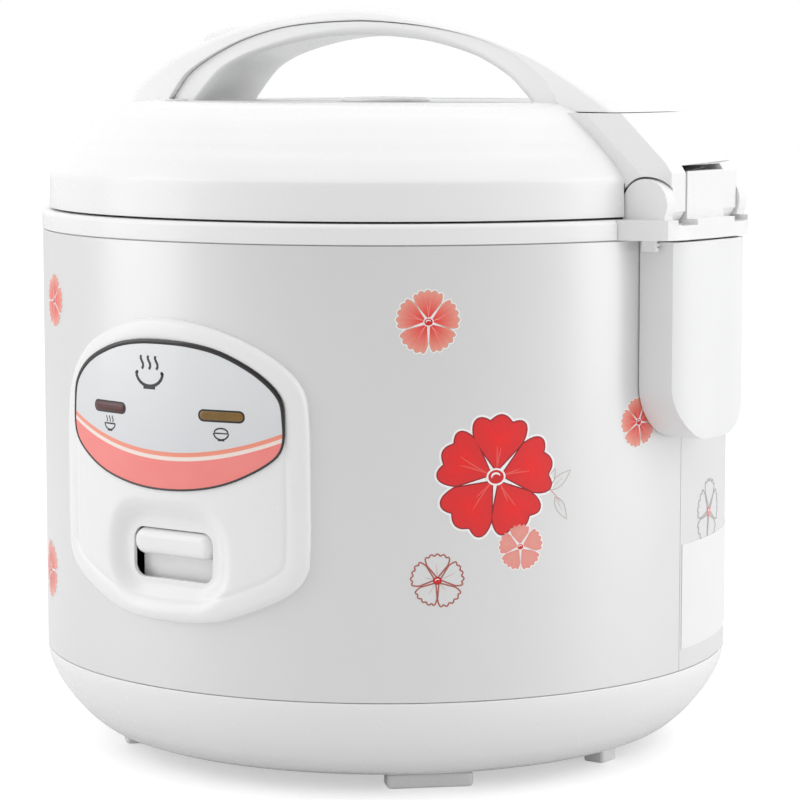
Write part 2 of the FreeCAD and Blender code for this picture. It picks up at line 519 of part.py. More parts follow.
# latch hook: one steel lever, upper arm under the button, nose under the strike
hk = xz([(-114.0, 219.6), (-109.6, 219.8), (-104.5, 233.0), (-98.0, 243.0), (-88.0, 250.8), (-77.6, 252.6), (-77.6, 254.2),
         (-83.2, 254.3), (-89.8, 253.0), (-100.0, 245.2), (-107.0, 234.6), (-114.2, 224.6)], -2.5, 2.5)
hl = xz([(-114.2, 224.0), (-110.0, 219.6), (-118.6, 205.8), (-121.55, 202.4), (-121.55, 197.0), (-119.6, 197.0), (-119.6, 195.9),
         (-121.2, 194.0), (-123.3, 194.0), (-123.3, 201.0), (-121.2, 205.8)], -5, 5)
hb2 = cyl(3.0, 10.0, (LPX, -5, LPZ), (0, 1, 0))
hook = fuse(hk, hl, hb2).cut(cyl(1.25, 12, (LPX, -6, LPZ), (0, 1, 0)))
put("latch_hook", hook)
put("latch_pin", cyl(1.2, 16.8, (LPX, -8.4, LPZ), (0, 1, 0)))
put("button_spring", [torus(2.6, 0.5, (-66.0, 0, z), (0, 0, 1)) for z in (257.6, 259.2, 260.8)])

# ---- rear cover: the sloped arm from the handle down to the hinge
A23 = [(100.0, 238.7), (118.8, 238.7), (137.2, 221.6), (139.6, 218.0), (139.6, 204.6), (118.0, 204.6)]
A28 = [(98.0, 238.7), (107.6, 238.7), (130.0, 217.9), (131.8, 215.2), (131.8, 204.6), (117.0, 204.6)]


def wire_at(pts, y):
    return Part.makePolygon([V(x, y, z) for x, z in pts] + [V(pts[0][0], y, pts[0][1])])


arm = xz(A23, -23.0, 23.0)
for s in (-1, 1):
    arm = arm.fuse(Part.makeLoft([wire_at(A23, s * 23.0), wire_at(A28, s * 28.4)], True, True))
arm = arm.removeSplitter().cut(lid_full)
inn = xz([(90.0, 236.2), (117.4, 236.2), (135.0, 220.0), (137.0, 217.0), (137.0, 190), (90, 190)], -20.6, 20.6)
arm = arm.cut(inn)
for s in (-1, 1):
    y0, y1 = (13.5, 22.2) if s > 0 else (-22.2, -13.5)
    lobe = fuse(cyl(7.6, y1 - y0, (PIVOT_X, y0, PIVOT_Z), (0, 1, 0)), box(128.0, 137.0, y0, y1, PIVOT_Z, 221.0))
    arm = arm.fuse(lobe.cut(lid_full))
arm = arm.removeSplitter()
arm = arm.cut(ycyl(14.6, 13.4))
for s in (-1, 1):
    y0, y1 = (22.25, 30) if s > 0 else (-30, -22.25)
    arm = arm.cut(cyl(9.75, y1 - y0, (PIVOT_X, y0, PIVOT_Z), (0, 1, 0)))
    arm = arm.cut(box(116, 132, y0, y1, 200, PIVOT_Z))
arm = arm.cut(ycyl(2.02, 30)).cut(box(100, 145, -30, 30, 190, 198.6))
arm = Part.makeCompound([s for s in arm.Solids if s.Volume > 20]) if len(arm.Solids) > 1 else arm
put("rear_cover", arm)

# ---- drip cup under the hinge ledge
cpo = [(120, -CUP_W), (141.5, -CUP_W), (143.8, -20), (144.6, 0), (143.8, 20), (141.5, CUP_W), (120, CUP_W)]


def cup_form(d, zb):
    w, rr = CUP_W - d, 20.0 - d
    pr = [(-w, 210), (w, 210), (w, zb + rr), (w - 0.29 * rr, zb + 0.29 * rr), (w - rr, zb), (-w + rr, zb), (-w + 0.29 * rr, zb + 0.29 * rr), (-w, zb + rr)]
    e = [line((100, -w, 210), (100, w, 210)), line((100, w, 210), (100, w, zb + rr)),
         Part.Arc(V(100, w, zb + rr), V(100, w - 0.293 * rr, zb + 0.293 * rr), V(100, w - rr, zb)).toShape(),
         line((100, w - rr, zb), (100, -w + rr, zb)),
         Part.Arc(V(100, -w + rr, zb), V(100, -w + 0.293 * rr, zb + 0.293 * rr), V(100, -w, zb + rr)).toShape(),
         line((100, -w, zb + rr), (100, -w, 210))]
    s = Part.Face(Part.Wire(e)).extrude(V(60, 0, 0))
    pl = [(120 if d == 0 else 100, -w), (141.5 - d * 0.8, -w), (143.8 - d, -20 + d), (144.6 - d, 0), (143.8 - d, 20 - d), (141.5 - d * 0.8, w), (120 if d == 0 else 100, w)]
    q = [V(x, y, 100) for x, y in pl]
    b = Part.BSplineCurve()
    b.interpolate(q[1:6])
    wr = Part.Wire([Part.makePolygon([q[0], q[1]]).Edges[0], b.toShape(), Part.makePolygon([q[5], q[6]]).Edges[0], Part.makePolygon([q[6], q[0]]).Edges[0]])
    s = s.common(Part.Face(wr).extrude(V(0, 0, 120)))
    return s.cut(cyl(R_BODY + 0.5 + d, 150, (0, 0, 90)))


cup = cup_form(0, CUP_BOT).common(box(100, 160, -40, 40, 100, CUP_TOP))
cup = cup.cut(cup_form(1.5, CUP_BOT + 1.5))
for s in (-1, 1):
    y0, y1 = (24.6, 26.7) if s > 0 else (-26.7, -24.6)
    cup = cup.fuse(box(132.0, 136.3, y0, y1, 192.7, 193.9))
put("collector_cup", cup.removeSplitter())

# ring clearance where the moving hinge lobes sweep
PARTS["top_ring"] = PARTS["top_ring"].cut(ycyl(8.5, 23.0))

for name, s in PARTS.items():
    sol = s.Solids
    bad = (not s.isValid()) or not sol
    print("%-18s solids %2d vol %10.1f %s" % (name, len(sol), s.Volume, "INVALID" if bad else ""))
    out = sol[0] if len(sol) == 1 else Part.makeCompound(sol)
    out.exportStep("parts/%s.step" % name)
print(len(PARTS), "nodes")
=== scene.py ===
import json
import random
from math import sin, cos, pi, radians, degrees, sqrt, atan2

import bpy
import bmesh
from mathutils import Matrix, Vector


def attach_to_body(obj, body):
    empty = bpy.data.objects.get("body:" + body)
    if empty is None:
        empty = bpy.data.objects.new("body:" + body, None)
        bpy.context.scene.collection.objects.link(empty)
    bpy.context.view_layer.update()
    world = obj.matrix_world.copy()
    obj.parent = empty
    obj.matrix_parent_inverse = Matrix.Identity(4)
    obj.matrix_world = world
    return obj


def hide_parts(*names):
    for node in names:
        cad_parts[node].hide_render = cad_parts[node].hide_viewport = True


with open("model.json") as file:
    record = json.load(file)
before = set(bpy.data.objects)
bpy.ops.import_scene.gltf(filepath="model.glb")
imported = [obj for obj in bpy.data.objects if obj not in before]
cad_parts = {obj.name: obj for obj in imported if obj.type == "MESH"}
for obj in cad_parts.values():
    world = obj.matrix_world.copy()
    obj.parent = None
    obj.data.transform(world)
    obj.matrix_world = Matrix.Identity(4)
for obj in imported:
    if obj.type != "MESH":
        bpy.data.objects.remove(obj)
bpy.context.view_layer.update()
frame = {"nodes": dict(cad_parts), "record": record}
NODES = frame["nodes"]
REC = frame["record"]
BODY = {n: b for b, ns in REC["behaviour"]["bodies"].items() for n in ns}
SLOT = {s["node"]: s["material_slot"] for s in REC["subparts"]}
SCN = bpy.context.scene
MM = 0.001


# ------------------------------------------------------------------ materials
def nd(nt, kind, x=0, y=0, **kw):
    n = nt.nodes.new(kind)
    n.location = (x, y)
    for k, v in kw.items():
        setattr(n, k, v)
    return n


def base_mat(name):
    m = bpy.data.materials.new(name)
    m.use_nodes = True
    nt = m.node_tree
    nt.nodes.clear()
    out = nd(nt, "ShaderNodeOutputMaterial", 600)
    bs = nd(nt, "ShaderNodeBsdfPrincipled", 300)
    nt.links.new(bs.outputs[0], out.inputs[0])
    tc = nd(nt, "ShaderNodeTexCoord", -900)
    return m, nt, bs, tc


def noise(nt, tc, scale, detail=3.0, stretch=None, x=-600, y=0):
    src = tc.outputs["Object"]
    if stretch:
        mp = nd(nt, "ShaderNodeMapping", x - 180, y)
        mp.inputs["Scale"].default_value = stretch
        nt.links.new(src, mp.inputs["Vector"])
        src = mp.outputs["Vector"]
    n = nd(nt, "ShaderNodeTexNoise", x, y)
    n.inputs["Scale"].default_value = scale
    n.inputs["Detail"].default_value = detail
    nt.links.new(src, n.inputs["Vector"])
    return n.outputs["Fac"]


def ramp(nt, fac, a, b, lo=0.3, hi=0.7, x=-300, y=0):
    r = nd(nt, "ShaderNodeValToRGB", x, y)
    r.color_ramp.elements[0].position = lo
    r.color_ramp.elements[1].position = hi
    r.color_ramp.elements[0].color = (*a, 1)
    r.color_ramp.elements[1].color = (*b, 1)
    nt.links.new(fac, r.inputs["Fac"])
    return r.outputs["Color"]


def rng(nt, fac, a, b, lo=0.3, hi=0.7, x=-300, y=-250):
    r = nd(nt, "ShaderNodeMapRange", x, y)
    r.inputs["From Min"].default_value = lo
    r.inputs["From Max"].default_value = hi
    r.inputs["To Min"].default_value = a
    r.inputs["To Max"].default_value = b
    nt.links.new(fac, r.inputs["Value"])
    return r.outputs["Result"]


def surface(name, col, rough, metal=0.0, var=0.012, vscale=14.0, rvar=0.035, bscale=1400.0, bump=0.12,
            bdist=0.00004, stretch=None, coat=0.0, coat_rough=0.08, spec=0.5, ior=1.5, trans=0.0, sss=0.0, tint=None):
    m, nt, bs, tc = base_mat(name)
    big = noise(nt, tc, vscale, 3.0, None, -600, 200)
    fine = noise(nt, tc, bscale, 2.0, stretch, -600, -250)
    a = tuple(max(0.0, c * (1 - var)) for c in col)
    b = tint or tuple(min(1.0, c * (1 + var)) for c in col)
    nt.links.new(ramp(nt, big, a, b, 0.3, 0.7, -300, 200), bs.inputs["Base Color"])
    nt.links.new(rng(nt, fine, max(0.02, rough - rvar), min(1, rough + rvar)), bs.inputs["Roughness"])
    bp = nd(nt, "ShaderNodeBump", 60, -400)
    bp.inputs["Strength"].default_value = bump
    bp.inputs["Distance"].default_value = bdist
    nt.links.new(fine, bp.inputs["Height"])
    nt.links.new(bp.outputs["Normal"], bs.inputs["Normal"])
    bs.inputs["Metallic"].default_value = metal
    bs.inputs["Coat Weight"].default_value = coat
    bs.inputs["Coat Roughness"].default_value = coat_rough
    bs.inputs["Specular IOR Level"].default_value = spec
    bs.inputs["IOR"].default_value = ior
    bs.inputs["Transmission Weight"].default_value = trans
    if sss:
        bs.inputs["Subsurface Weight"].default_value = sss
        bs.inputs["Subsurface Radius"].default_value = (1.0, 0.9, 0.8)
        bs.inputs["Subsurface Scale"].default_value = 0.002
    return m


MATS = {
    "white_abs": surface("white_abs", (0.88, 0.88, 0.88), 0.24, coat=0.15, coat_rough=0.12, var=0.006, bscale=900, bump=0.06),
    "painted_sheet": surface("painted_sheet", (0.765, 0.765, 0.767), 0.32, metal=0.25, var=0.012, vscale=9, bscale=5200, bump=0.10,
                             bdist=0.00002, coat=0.2, coat_rough=0.18),
    "grey_abs": surface("grey_abs", (0.66, 0.665, 0.67), 0.40, var=0.02, bscale=2600, bump=0.25),
    "key_white": surface("key_white", (0.89, 0.89, 0.89), 0.20, coat=0.25, var=0.005, bscale=800, bump=0.05),
    "frosted_plastic": surface("frosted_plastic", (0.97, 0.972, 0.975), 0.36, trans=0.16, var=0.01, bscale=2200, bump=0.22, ior=1.46),
    "zinc_steel": surface("zinc_steel", (0.60, 0.60, 0.61), 0.34, metal=1.0, var=0.06, vscale=60, bscale=1800, bump=0.15),
    "spring_steel": surface("spring_steel", (0.45, 0.45, 0.47), 0.30, metal=1.0, var=0.08, vscale=90, bscale=2500, bump=0.1),
    "galvanised_sheet": surface("galvanised_sheet", (0.60, 0.61, 0.62), 0.40, metal=1.0, var=0.10, vscale=45, bscale=1200,
                                bump=0.12, stretch=(1, 1, 0.08)),
    "cast_aluminium": surface("cast_aluminium", (0.66, 0.66, 0.67), 0.38, metal=1.0, var=0.05, vscale=30, bscale=1500, bump=0.3),
    "lid_aluminium": surface("lid_aluminium", (0.78, 0.78, 0.79), 0.36, metal=1.0, var=0.02, vscale=22, bscale=2600, bump=0.12,
                             stretch=(1, 0.06, 1)),
    "nonstick_coat": surface("nonstick_coat", (0.085, 0.085, 0.09), 0.40, metal=0.25, var=0.25, vscale=700, bscale=3200, bump=0.3),
    "dark_chrome": surface("dark_chrome", (0.022, 0.020, 0.020), 0.16, metal=0.5, var=0.05, vscale=40, bscale=1800, bump=0.04, coat=0.5),
    "red_lens": surface("red_lens", (0.075, 0.004, 0.005), 0.22, var=0.2, vscale=120, coat=0.2, coat_rough=0.05, bump=0.03),
    "amber_lens": surface("amber_lens", (0.20, 0.105, 0.012), 0.24, var=0.15, vscale=120, coat=0.2, coat_rough=0.05, bump=0.03),
    "lamp_glass": surface("lamp_glass", (0.92, 0.88, 0.82), 0.08, trans=0.85, var=0.02, bump=0.02),
    "nickel_blades": surface("nickel_blades", (0.70, 0.69, 0.66), 0.22, metal=1.0, var=0.04, vscale=80, bscale=2000, bump=0.08,
                             stretch=(1, 1, 0.1)),
    "black_plastic": surface("black_plastic", (0.022, 0.022, 0.023), 0.45, var=0.2, vscale=50, bscale=2600, bump=0.25),
    "white_film": surface("white_film", (0.84, 0.84, 0.84), 0.42, var=0.008, vscale=30, bscale=2400, bump=0.10),
    "silicone": surface("silicone", (0.78, 0.78, 0.775), 0.46, sss=0.25, var=0.015, bscale=1600, bump=0.2),
    "printed_label": None,
    "shadow_gap": surface("shadow_gap", (0.10, 0.10, 0.10), 0.6, var=0.1, bump=0.1),
}


def srgb(r, g, b):
    f = lambda c: c / 12.92 if c <= 0.04045 else ((c + 0.055) / 1.055) ** 2.4
    return tuple(f(v / 255.0) for v in (r, g, b))


def math(nt, op, a, b=None, x=0, y=0):
    n = nd(nt, "ShaderNodeMath", x, y, operation=op)
    for i, v in enumerate((a, b)):
        if v is None:
            continue
        if isinstance(v, (int, float)):
            n.inputs[i].default_value = v
        else:
            nt.links.new(v, n.inputs[i])
    return n.outputs[0]


def step(nt, v, edge, soft, x=0, y=0):
    """0 below edge, 1 above it, over a short soft distance."""
    r = nd(nt, "ShaderNodeMapRange", x, y)
    r.inputs["From Min"].default_value = edge - soft
    r.inputs["From Max"].default_value = edge + soft
    nt.links.new(v, r.inputs["Value"])
    return r.outputs["Result"]


def mixc(nt, fac, a, b, x=0, y=0):
    n = nd(nt, "ShaderNodeMix", x, y, data_type="RGBA")
    nt.links.new(fac, n.inputs["Factor"])
    for sock, v in ((n.inputs[6], a), (n.inputs[7], b)):
        if isinstance(v, tuple):
            sock.default_value = (*v, 1)
        else:
            nt.links.new(v, sock)
    return n.outputs[2]


def label_material():
    """Printed film: pale grey field, a thin orange and a thin white line on one curve, a salmon field under them."""
    m, nt, bs, tc = base_mat("printed_label")
    sep = nd(nt, "ShaderNodeSeparateXYZ", -1100, 300)
    nt.links.new(tc.outputs["Object"], sep.inputs[0])
    ny = math(nt, "MULTIPLY", sep.outputs[1], -1.0, -950, 300)
    phi = math(nt, "MULTIPLY", math(nt, "ARCTAN2", sep.outputs[0], ny, -800, 300), 57.29578, -650, 300)
    z = math(nt, "MULTIPLY", sep.outputs[2], 1000.0, -950, 100)
    q = math(nt, "SUBTRACT", phi, 1.0, -500, 300)
    q = math(nt, "MULTIPLY", math(nt, "MULTIPLY", q, q, -400, 300), 0.0226, -300, 300)
    d = math(nt, "SUBTRACT", math(nt, "SUBTRACT", z, 121.1, -500, 100), q, -200, 200)
    tone = noise(nt, tc, 55.0, 2.0, None, -600, -500)
    top = ramp(nt, step(nt, z, 140.0, 24.0, -400, 500), srgb(216, 218, 221), srgb(232, 233, 235), 0.0, 1.0, -200, 500)
    salmon = ramp(nt, tone, srgb(246, 132, 127), srgb(249, 141, 135), 0.3, 0.7, -200, -500)
    c = mixc(nt, step(nt, d, -2.35, 0.10), salmon, srgb(246, 230, 222), 0, 0)
    c = mixc(nt, step(nt, d, -0.95, 0.10), c, srgb(244, 150, 126), 120, 0)
    c = mixc(nt, step(nt, d, 0.60, 0.10), c, top, 240, 0)
    nt.links.new(c, bs.inputs["Base Color"])
    fine = noise(nt, tc, 2400.0, 2.0, None, -600, -800)
    nt.links.new(rng(nt, fine, 0.20, 0.27, 0.3, 0.7, -300, -800), bs.inputs["Roughness"])
    bs.inputs["Coat Weight"].default_value = 0.3
    bs.inputs["Coat Roughness"].default_value = 0.06
    return m


MATS["printed_label"] = label_material()


def ink_material():
    m, nt, bs, tc = base_mat("screen_ink")
    at = nd(nt, "ShaderNodeAttribute", -600, 200, attribute_name="ink")
    n = noise(nt, tc, 900.0, 2.0, None, -600, -200)
    mul = nd(nt, "ShaderNodeMix", -100, 100, data_type="RGBA", blend_type="MULTIPLY")
    mul.inputs["Factor"].default_value = 1.0
    nt.links.new(at.outputs["Color"], mul.inputs[6])
    nt.links.new(ramp(nt, n, (0.95, 0.95, 0.95), (1, 1, 1), 0.3, 0.6, -350, -100), mul.inputs[7])
    nt.links.new(mul.outputs[2], bs.inputs["Base Color"])
    nt.links.new(rng(nt, n, 0.30, 0.40), bs.inputs["Roughness"])
    bs.inputs["Coat Weight"].default_value = 0.2
    bs.inputs["Coat Roughness"].default_value = 0.15
    return m


INK = ink_material()


# ------------------------------------------------------------------ mesh helpers
def finish_mesh(ob, angle=32.0, weighted=True):
    me = ob.data
    me.shade_smooth()
    me.set_sharp_from_angle(angle=radians(angle))
    if weighted:
        w = ob.modifiers.new("weighted", "WEIGHTED_NORMAL")
        w.keep_sharp = True
    return ob


def link(name, me, mat):
    ob = bpy.data.objects.new(name, me)
    SCN.collection.objects.link(ob)
    me.materials.clear()
    me.materials.append(mat)
    return ob


def make(name, verts, faces, mat, recalc=True):
    me = bpy.data.meshes.new(name)
    me.from_pydata([(x * MM, y * MM, z * MM) for x, y, z in verts], [], faces)
    bm = bmesh.new()
    bm.from_mesh(me)
    bmesh.ops.remove_doubles(bm, verts=bm.verts, dist=1e-7)
    if recalc:
        bmesh.ops.recalc_face_normals(bm, faces=bm.faces)
    bm.to_mesh(me)
    bm.free()
    return link(name, me, mat)


def attach(ob, node, angle=32.0, weighted=True, reps=True):
    finish_mesh(ob, angle, weighted)
    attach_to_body(ob, BODY[node])
    if reps:
        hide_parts(node)
    return ob


def apply_mods(ob):
    bpy.ops.object.select_all(action="DESELECT")
    bpy.context.view_layer.objects.active = ob
    ob.select_set(True)
    for m in list(ob.modifiers):
        bpy.ops.object.modifier_apply(modifier=m.name)


def bevel(ob, width, seg=3, angle=28.0):
    b = ob.modifiers.new("bevel", "BEVEL")
    b.width = width * MM
    b.segments = seg
    b.limit_method = "ANGLE"
    b.angle_limit = radians(angle)
    b.use_clamp_overlap = True
    b.miter_outer = "MITER_ARC"
    apply_mods(ob)
    return ob


def cut(ob, *cutters, op="DIFFERENCE"):
    for c in cutters:
        m = ob.modifiers.new("cut", "BOOLEAN")
        m.operation = op
        m.solver = "EXACT"
        m.object = c
        apply_mods(ob)
        me = c.data
        bpy.data.objects.remove(c)
        bpy.data.meshes.remove(me)
    return ob


def refine(node, width=0.5, seg=2, angle=28.0, mat=None, dissolve=0.5, shade=32.0):
    """The CAD node's own mesh, cleaned and with its sharp edges eased."""
    me = NODES[node].data.copy()
    me.name = node + "_eased"
    bm = bmesh.new()
    bm.from_mesh(me)
    bmesh.ops.remove_doubles(bm, verts=bm.verts, dist=3e-6)
    bmesh.ops.dissolve_degenerate(bm, edges=bm.edges, dist=1e-6)
    bmesh.ops.dissolve_limit(bm, angle_limit=radians(dissolve), verts=bm.verts, edges=bm.edges)
    new = bpy.data.meshes.new(node + "_eased")
    bm.to_mesh(new)
    bm.free()
    bpy.data.meshes.remove(me)
    for a in ("custom_normal",):
        if a in new.attributes:
            new.attributes.remove(new.attributes[a])
    ob = link("p_" + node, new, mat or MATS[SLOT[node]])
    if width:
        bevel(ob, width, seg, angle)
    return attach(ob, node, shade)


def revolve(profile, seg=192, closed=True):
    """Vertices and faces of a closed (r, z) profile turned about Z."""
    v, f = [], []
    n = len(profile)
    for i in range(seg):
        a = 2 * pi * i / seg
        for r, z in profile:
            v.append((r * cos(a), r * sin(a), z))
    for i in range(seg):
        j = (i + 1) % seg
        for k in range(n if closed else n - 1):
            l = (k + 1) % n
            if profile[k][0] < 1e-6 and profile[l][0] < 1e-6:
                continue
            f.append((i * n + k, j * n + k, j * n + l, i * n + l))
    return v, f


def smooth_line(pts, n):
    """Points along a Catmull-Rom curve through pts."""
    out = []
    P = [pts[0]] + list(pts) + [pts[-1]]
    m = len(pts) - 1
    for s in range(m):
        p0, p1, p2, p3 = P[s], P[s + 1], P[s + 2], P[s + 3]
        for i in range(n):
            t = i / n
            out.append(tuple(0.5 * ((2 * b) + (c - a) * t + (2 * a - 5 * b + 4 * c - d) * t * t + (3 * b - a - 3 * c + d) * t ** 3)
                             for a, b, c, d in zip(p0, p1, p2, p3)))
    out.append(tuple(pts[-1]))
    return out


def smooth_loop(pts, n):
    out = []
    m = len(pts)
    for s in range(m):
        p0, p1, p2, p3 = pts[s - 1], pts[s], pts[(s + 1) % m], pts[(s + 2) % m]
        for i in range(n):
            t = i / n
            out.append(tuple(0.5 * ((2 * b) + (c - a) * t + (2 * a - 5 * b + 4 * c - d) * t * t + (3 * b - a - 3 * c + d) * t ** 3)
                             for a, b, c, d in zip(p0, p1, p2, p3)))
    return out


def resample(pts, n, loop=True):
    P = list(pts) + ([pts[0]] if loop else [])
    L = [0.0]
    for a, b in zip(P, P[1:]):
        L.append(L[-1] + sqrt(sum((u - w) ** 2 for u, w in zip(a, b))))
    out, k = [], 0
    cnt = n if loop else n - 1
    for i in range(n):
        d = L[-1] * i / cnt
        while k < len(L) - 2 and L[k + 1] < d:
            k += 1
        t = (d - L[k]) / max(1e-12, L[k + 1] - L[k])
        out.append(tuple(a + (b - a) * t for a, b in zip(P[k], P[k + 1])))
    return out


def inset(loop, d):
    """Loop of (u, v) moved inwards by d; the loop may run either way."""
    area = sum(a[0] * b[1] - b[0] * a[1] for a, b in zip(loop, loop[1:] + loop[:1]))
    s = 1.0 if area > 0 else -1.0
    out = []
    m = len(loop)
    for i in range(m):
        a, b = loop[i - 1], loop[(i + 1) % m]
        tx, ty = b[0] - a[0], b[1] - a[1]
        L = sqrt(tx * tx + ty * ty) or 1.0
        dd = d(i / m, loop[i]) if callable(d) else d
        out.append((loop[i][0] - s * ty / L * dd, loop[i][1] + s * tx / L * dd))
    return out


RB = 130.0


def on_cyl(u, v, r):
    """u is arc length in mm at radius 130 from the front, v is height."""
    a = u / RB
    return (r * sin(a), -r * cos(a), v)


def box_mesh(name, x0, x1, y0, y1, z0, z1, rot_deg=0.0):
    v = [(x, y, z) for x in (x0, x1) for y in (y0, y1) for z in (z0, z1)]
    if rot_deg:
        a = radians(rot_deg)
        v = [(x * cos(a) - y * sin(a), x * sin(a) + y * cos(a), z) for x, y, z in v]
    f = [(0, 1, 3, 2), (4, 6, 7, 5), (0, 4, 5, 1), (2, 3, 7, 6), (0, 2, 6, 4), (1, 5, 7, 3)]
    return make(name, v, f, MATS["white_abs"])


def y_cyl(name, r, y0, y1, x, z, seg=64):
    v, f = [], []
    for y in (y0, y1):
        for i in range(seg):
            a = 2 * pi * i / seg
            v.append((x + r * cos(a), y, z + r * sin(a)))
    for i in range(seg):
        j = (i + 1) % seg
        f.append((i, j, seg + j, seg + i))
    f.append(tuple(range(seg)))
    f.append(tuple(range(seg, 2 * seg)))
    return make(name, v, f, MATS["white_abs"])


def prism_y(name, loop, y0, y1):
    n = len(loop)
    v = [(x, y, z) for y in (y0, y1) for x, z in loop]
    f = [(i, (i + 1) % n, n + (i + 1) % n, n + i) for i in range(n)]
    f += [tuple(range(n)), tuple(range(n, 2 * n))]
    return make(name, v, f, MATS["white_abs"])


def round_rect(hw, z0, z1, r, n=8, cx=0.0):
    out = []
    for x, z, a0 in ((cx + hw - r, z0 + r, -90), (cx + hw - r, z1 - r, 0), (cx - hw + r, z1 - r, 90), (cx - hw + r, z0 + r, 180)):
        for i in range(n + 1):
            a = radians(a0 + 90.0 * i / n)
            out.append((x + r * cos(a), z + r * sin(a)))
    return out


# ------------------------------------------------------------------ base: shell, ring, bowl
def outer_shell():
    prof = [(128.9, 36.9), (129.6, 36.9), (129.88, 37.0), (130.0, 37.25), (130.0, 60), (130.0, 100), (130.0, 150), (130.0, 194.3),
            (129.88, 194.5), (129.6, 194.6), (128.9, 194.6)]
    v, f = revolve(prof, 288)
    ob = make("p_outer_shell", v, f, MATS["painted_sheet"])
    cut(ob, prism_y("c1", round_rect(28.8, 66.2, 107.8, 12.2), -140, -100), box_mesh("c2", -34, 34, -140, -100, 128, 142))
    cut(ob, box_mesh("c3", -0.16, 0.16, -131, -129.55, 36, 196, 90.8))
    attach(ob, "outer_shell", 30)


def top_ring():
    prof = [(107.2, 193.5), (120.0, 193.5), (120.0, 199.8), (126.9, 199.8), (126.9, 186.0), (128.8, 186.0),
            (128.8, 194.9), (129.9, 194.9), (130.18, 195.05), (130.3, 195.4), (130.3, 197.5), (130.3, 200.2), (130.22, 200.75),
            (130.0, 201.25), (129.6, 201.68), (129.1, 201.92), (128.5, 202.0), (123.0, 202.0), (118.5, 202.0), (118.15, 201.9),
            (118.0, 201.5), (118.0, 196.0), (107.2, 196.0)]
    v, f = revolve(prof, 256)
    ob = make("p_top_ring", v, f, MATS["white_abs"])
    slot = box_mesh("c1", 95, 150, -35.6, 35.6, 194.8, 205)
    vv, ff = revolve([(0.0, 180), (120.05, 180), (120.05, 210), (0.0, 210)], 256)
    core = make("c2", vv, ff, MATS["white_abs"])
    cut(slot, core)
    cut(ob, slot, box_mesh("c3", -128.9, -119.2, -8, 8, 185, 204))
    cut(ob, y_cyl("c4", 8.5, -23, 23, 132.0, 207.2))
    attach(ob, "top_ring", 30)


BOWL = [(98, 5.2), (104, 5.7), (108, 6.9), (111.4, 8.6), (116.7, 13.0), (120.5, 17.2),
        (123.9, 21.6), (126.9, 26.6), (128.7, 30.7), (129.7, 33.9), (130, 36.4)]


def base_bowl():
    out = smooth_line(BOWL, 5)
    prof = [(86.4, 5.2), (97, 5.2)] + out + [(129.9, 36.62), (129.6, 36.7), (128.8, 36.7), (128.8, 45), (126.3, 45), (126.3, 36.0)]
    inner = smooth_line([(126.3, 36.0), (126.2, 32.6), (124.2, 27.6), (121.6, 23.2), (118.4, 18.8), (114.8, 14.9),
                         (110.2, 11.0), (106.4, 9.0), (98, 8.0)], 3)[1:]
    prof += inner + [(86, 8.0), (86, 5.6)]
    v, f = revolve(prof, 256)
    ob = make("p_base_bowl", v, f, MATS["white_abs"])
    cut(ob, box_mesh("c1", -17.2, 17.2, -125.2, -99.8, 1.9, 27.2, 155.0))
    attach(ob, "base_bowl", 30)


# ------------------------------------------------------------------ lid
LIDP = [(127.5, 202.7), (127.2, 214.2), (126.9, 215.9), (126.1, 217.2), (123.8, 220.2), (121.2, 223.3), (118.1, 226.3),
        (115.4, 229.1), (112, 232.2), (109, 234.9), (104.8, 238.0), (98, 241.0), (90, 242.2)]


def lid_profile(off=0.0):
    dome = smooth_line([(126.9, 215.9)] + LIDP[3:], 6)
    low = [(127.15, 202.7), (127.4, 202.8), (127.5, 203.1), (127.4, 206.5), (127.3, 210.5), (127.2, 214.0), (127.1, 215.2)]
    return low + dome


def lid_cover():
    out = lid_profile()
    prof = out + [(85.2, 242.2), (84.75, 242.1), (84.6, 241.8), (84.6, 240.8), (17.4, 240.8), (17.4, 240.6), (15.7, 240.6), (15.7, 227.6),
                  (7.2, 227.6), (7.2, 226.0), (17.4, 226.0), (17.4, 238.4), (86.8, 238.4), (88.0, 239.7)]
    inner = [(r - 2.4, z - 2.2 * min(1.0, max(0.0, (z - 214) / 12.0))) for r, z in reversed(lid_profile()) if r > 92]
    prof += [p for p in inner if p[1] > 203.0] + [(125.1, 202.7)]
    v, f = revolve(prof, 288)
    ob = make("p_lid_cover", v, f, MATS["white_abs"])
    cut(ob, y_cyl("c1", 10.9, -29, 29, 132.0, 207.2), y_cyl("c2", 14.6, -13.5, 13.5, 132.0, 207.2),
        box_mesh("c3", -113.4, -80, -6.5, 6.5, 225, 246))
    attach(ob, "lid_cover", 30)


# ------------------------------------------------------------------ handle
HO = [(-114.6, 231.0), (-113.5, 238.5), (-110.0, 246.5), (-95.0, 256.9), (-80.0, 263.7), (-65.7, 268.9), (-51.0, 272.7), (-36.7, 275.1),
      (-22.0, 276.8), (-8.0, 277.4), (8.0, 276.3), (24.0, 273.8), (40.0, 270.5), (56.0, 266.5), (72.0, 261.2),
      (88.0, 254.9), (104.0, 246.9), (118.6, 238.95)]
HS = [(-92.2, 231.0), (-91.5, 238.0), (-85.0, 247.8), (-79.0, 253.7), (-66.0, 260.9), (-50.6, 266.6), (-31.5, 270.4), (-4.0, 271.9),
      (18.0, 270.9), (38.0, 268.5), (57.6, 264.3), (72.0, 259.0), (86.0, 249.5), (93.4, 239.2)]
HI = [(-77.0, 238.6), (-76.0, 242.0), (-71.0, 247.3), (-64.0, 253.6), (-58.0, 256.9), (-49.3, 260.0), (-34.6, 263.4), (-20.0, 265.6),
      (-6.0, 266.3), (8.6, 266.0), (25.7, 264.4), (39.0, 261.9), (52.5, 258.1), (65.8, 251.8), (72.3, 246.8), (77.5, 242.0), (78.6, 238.6)]
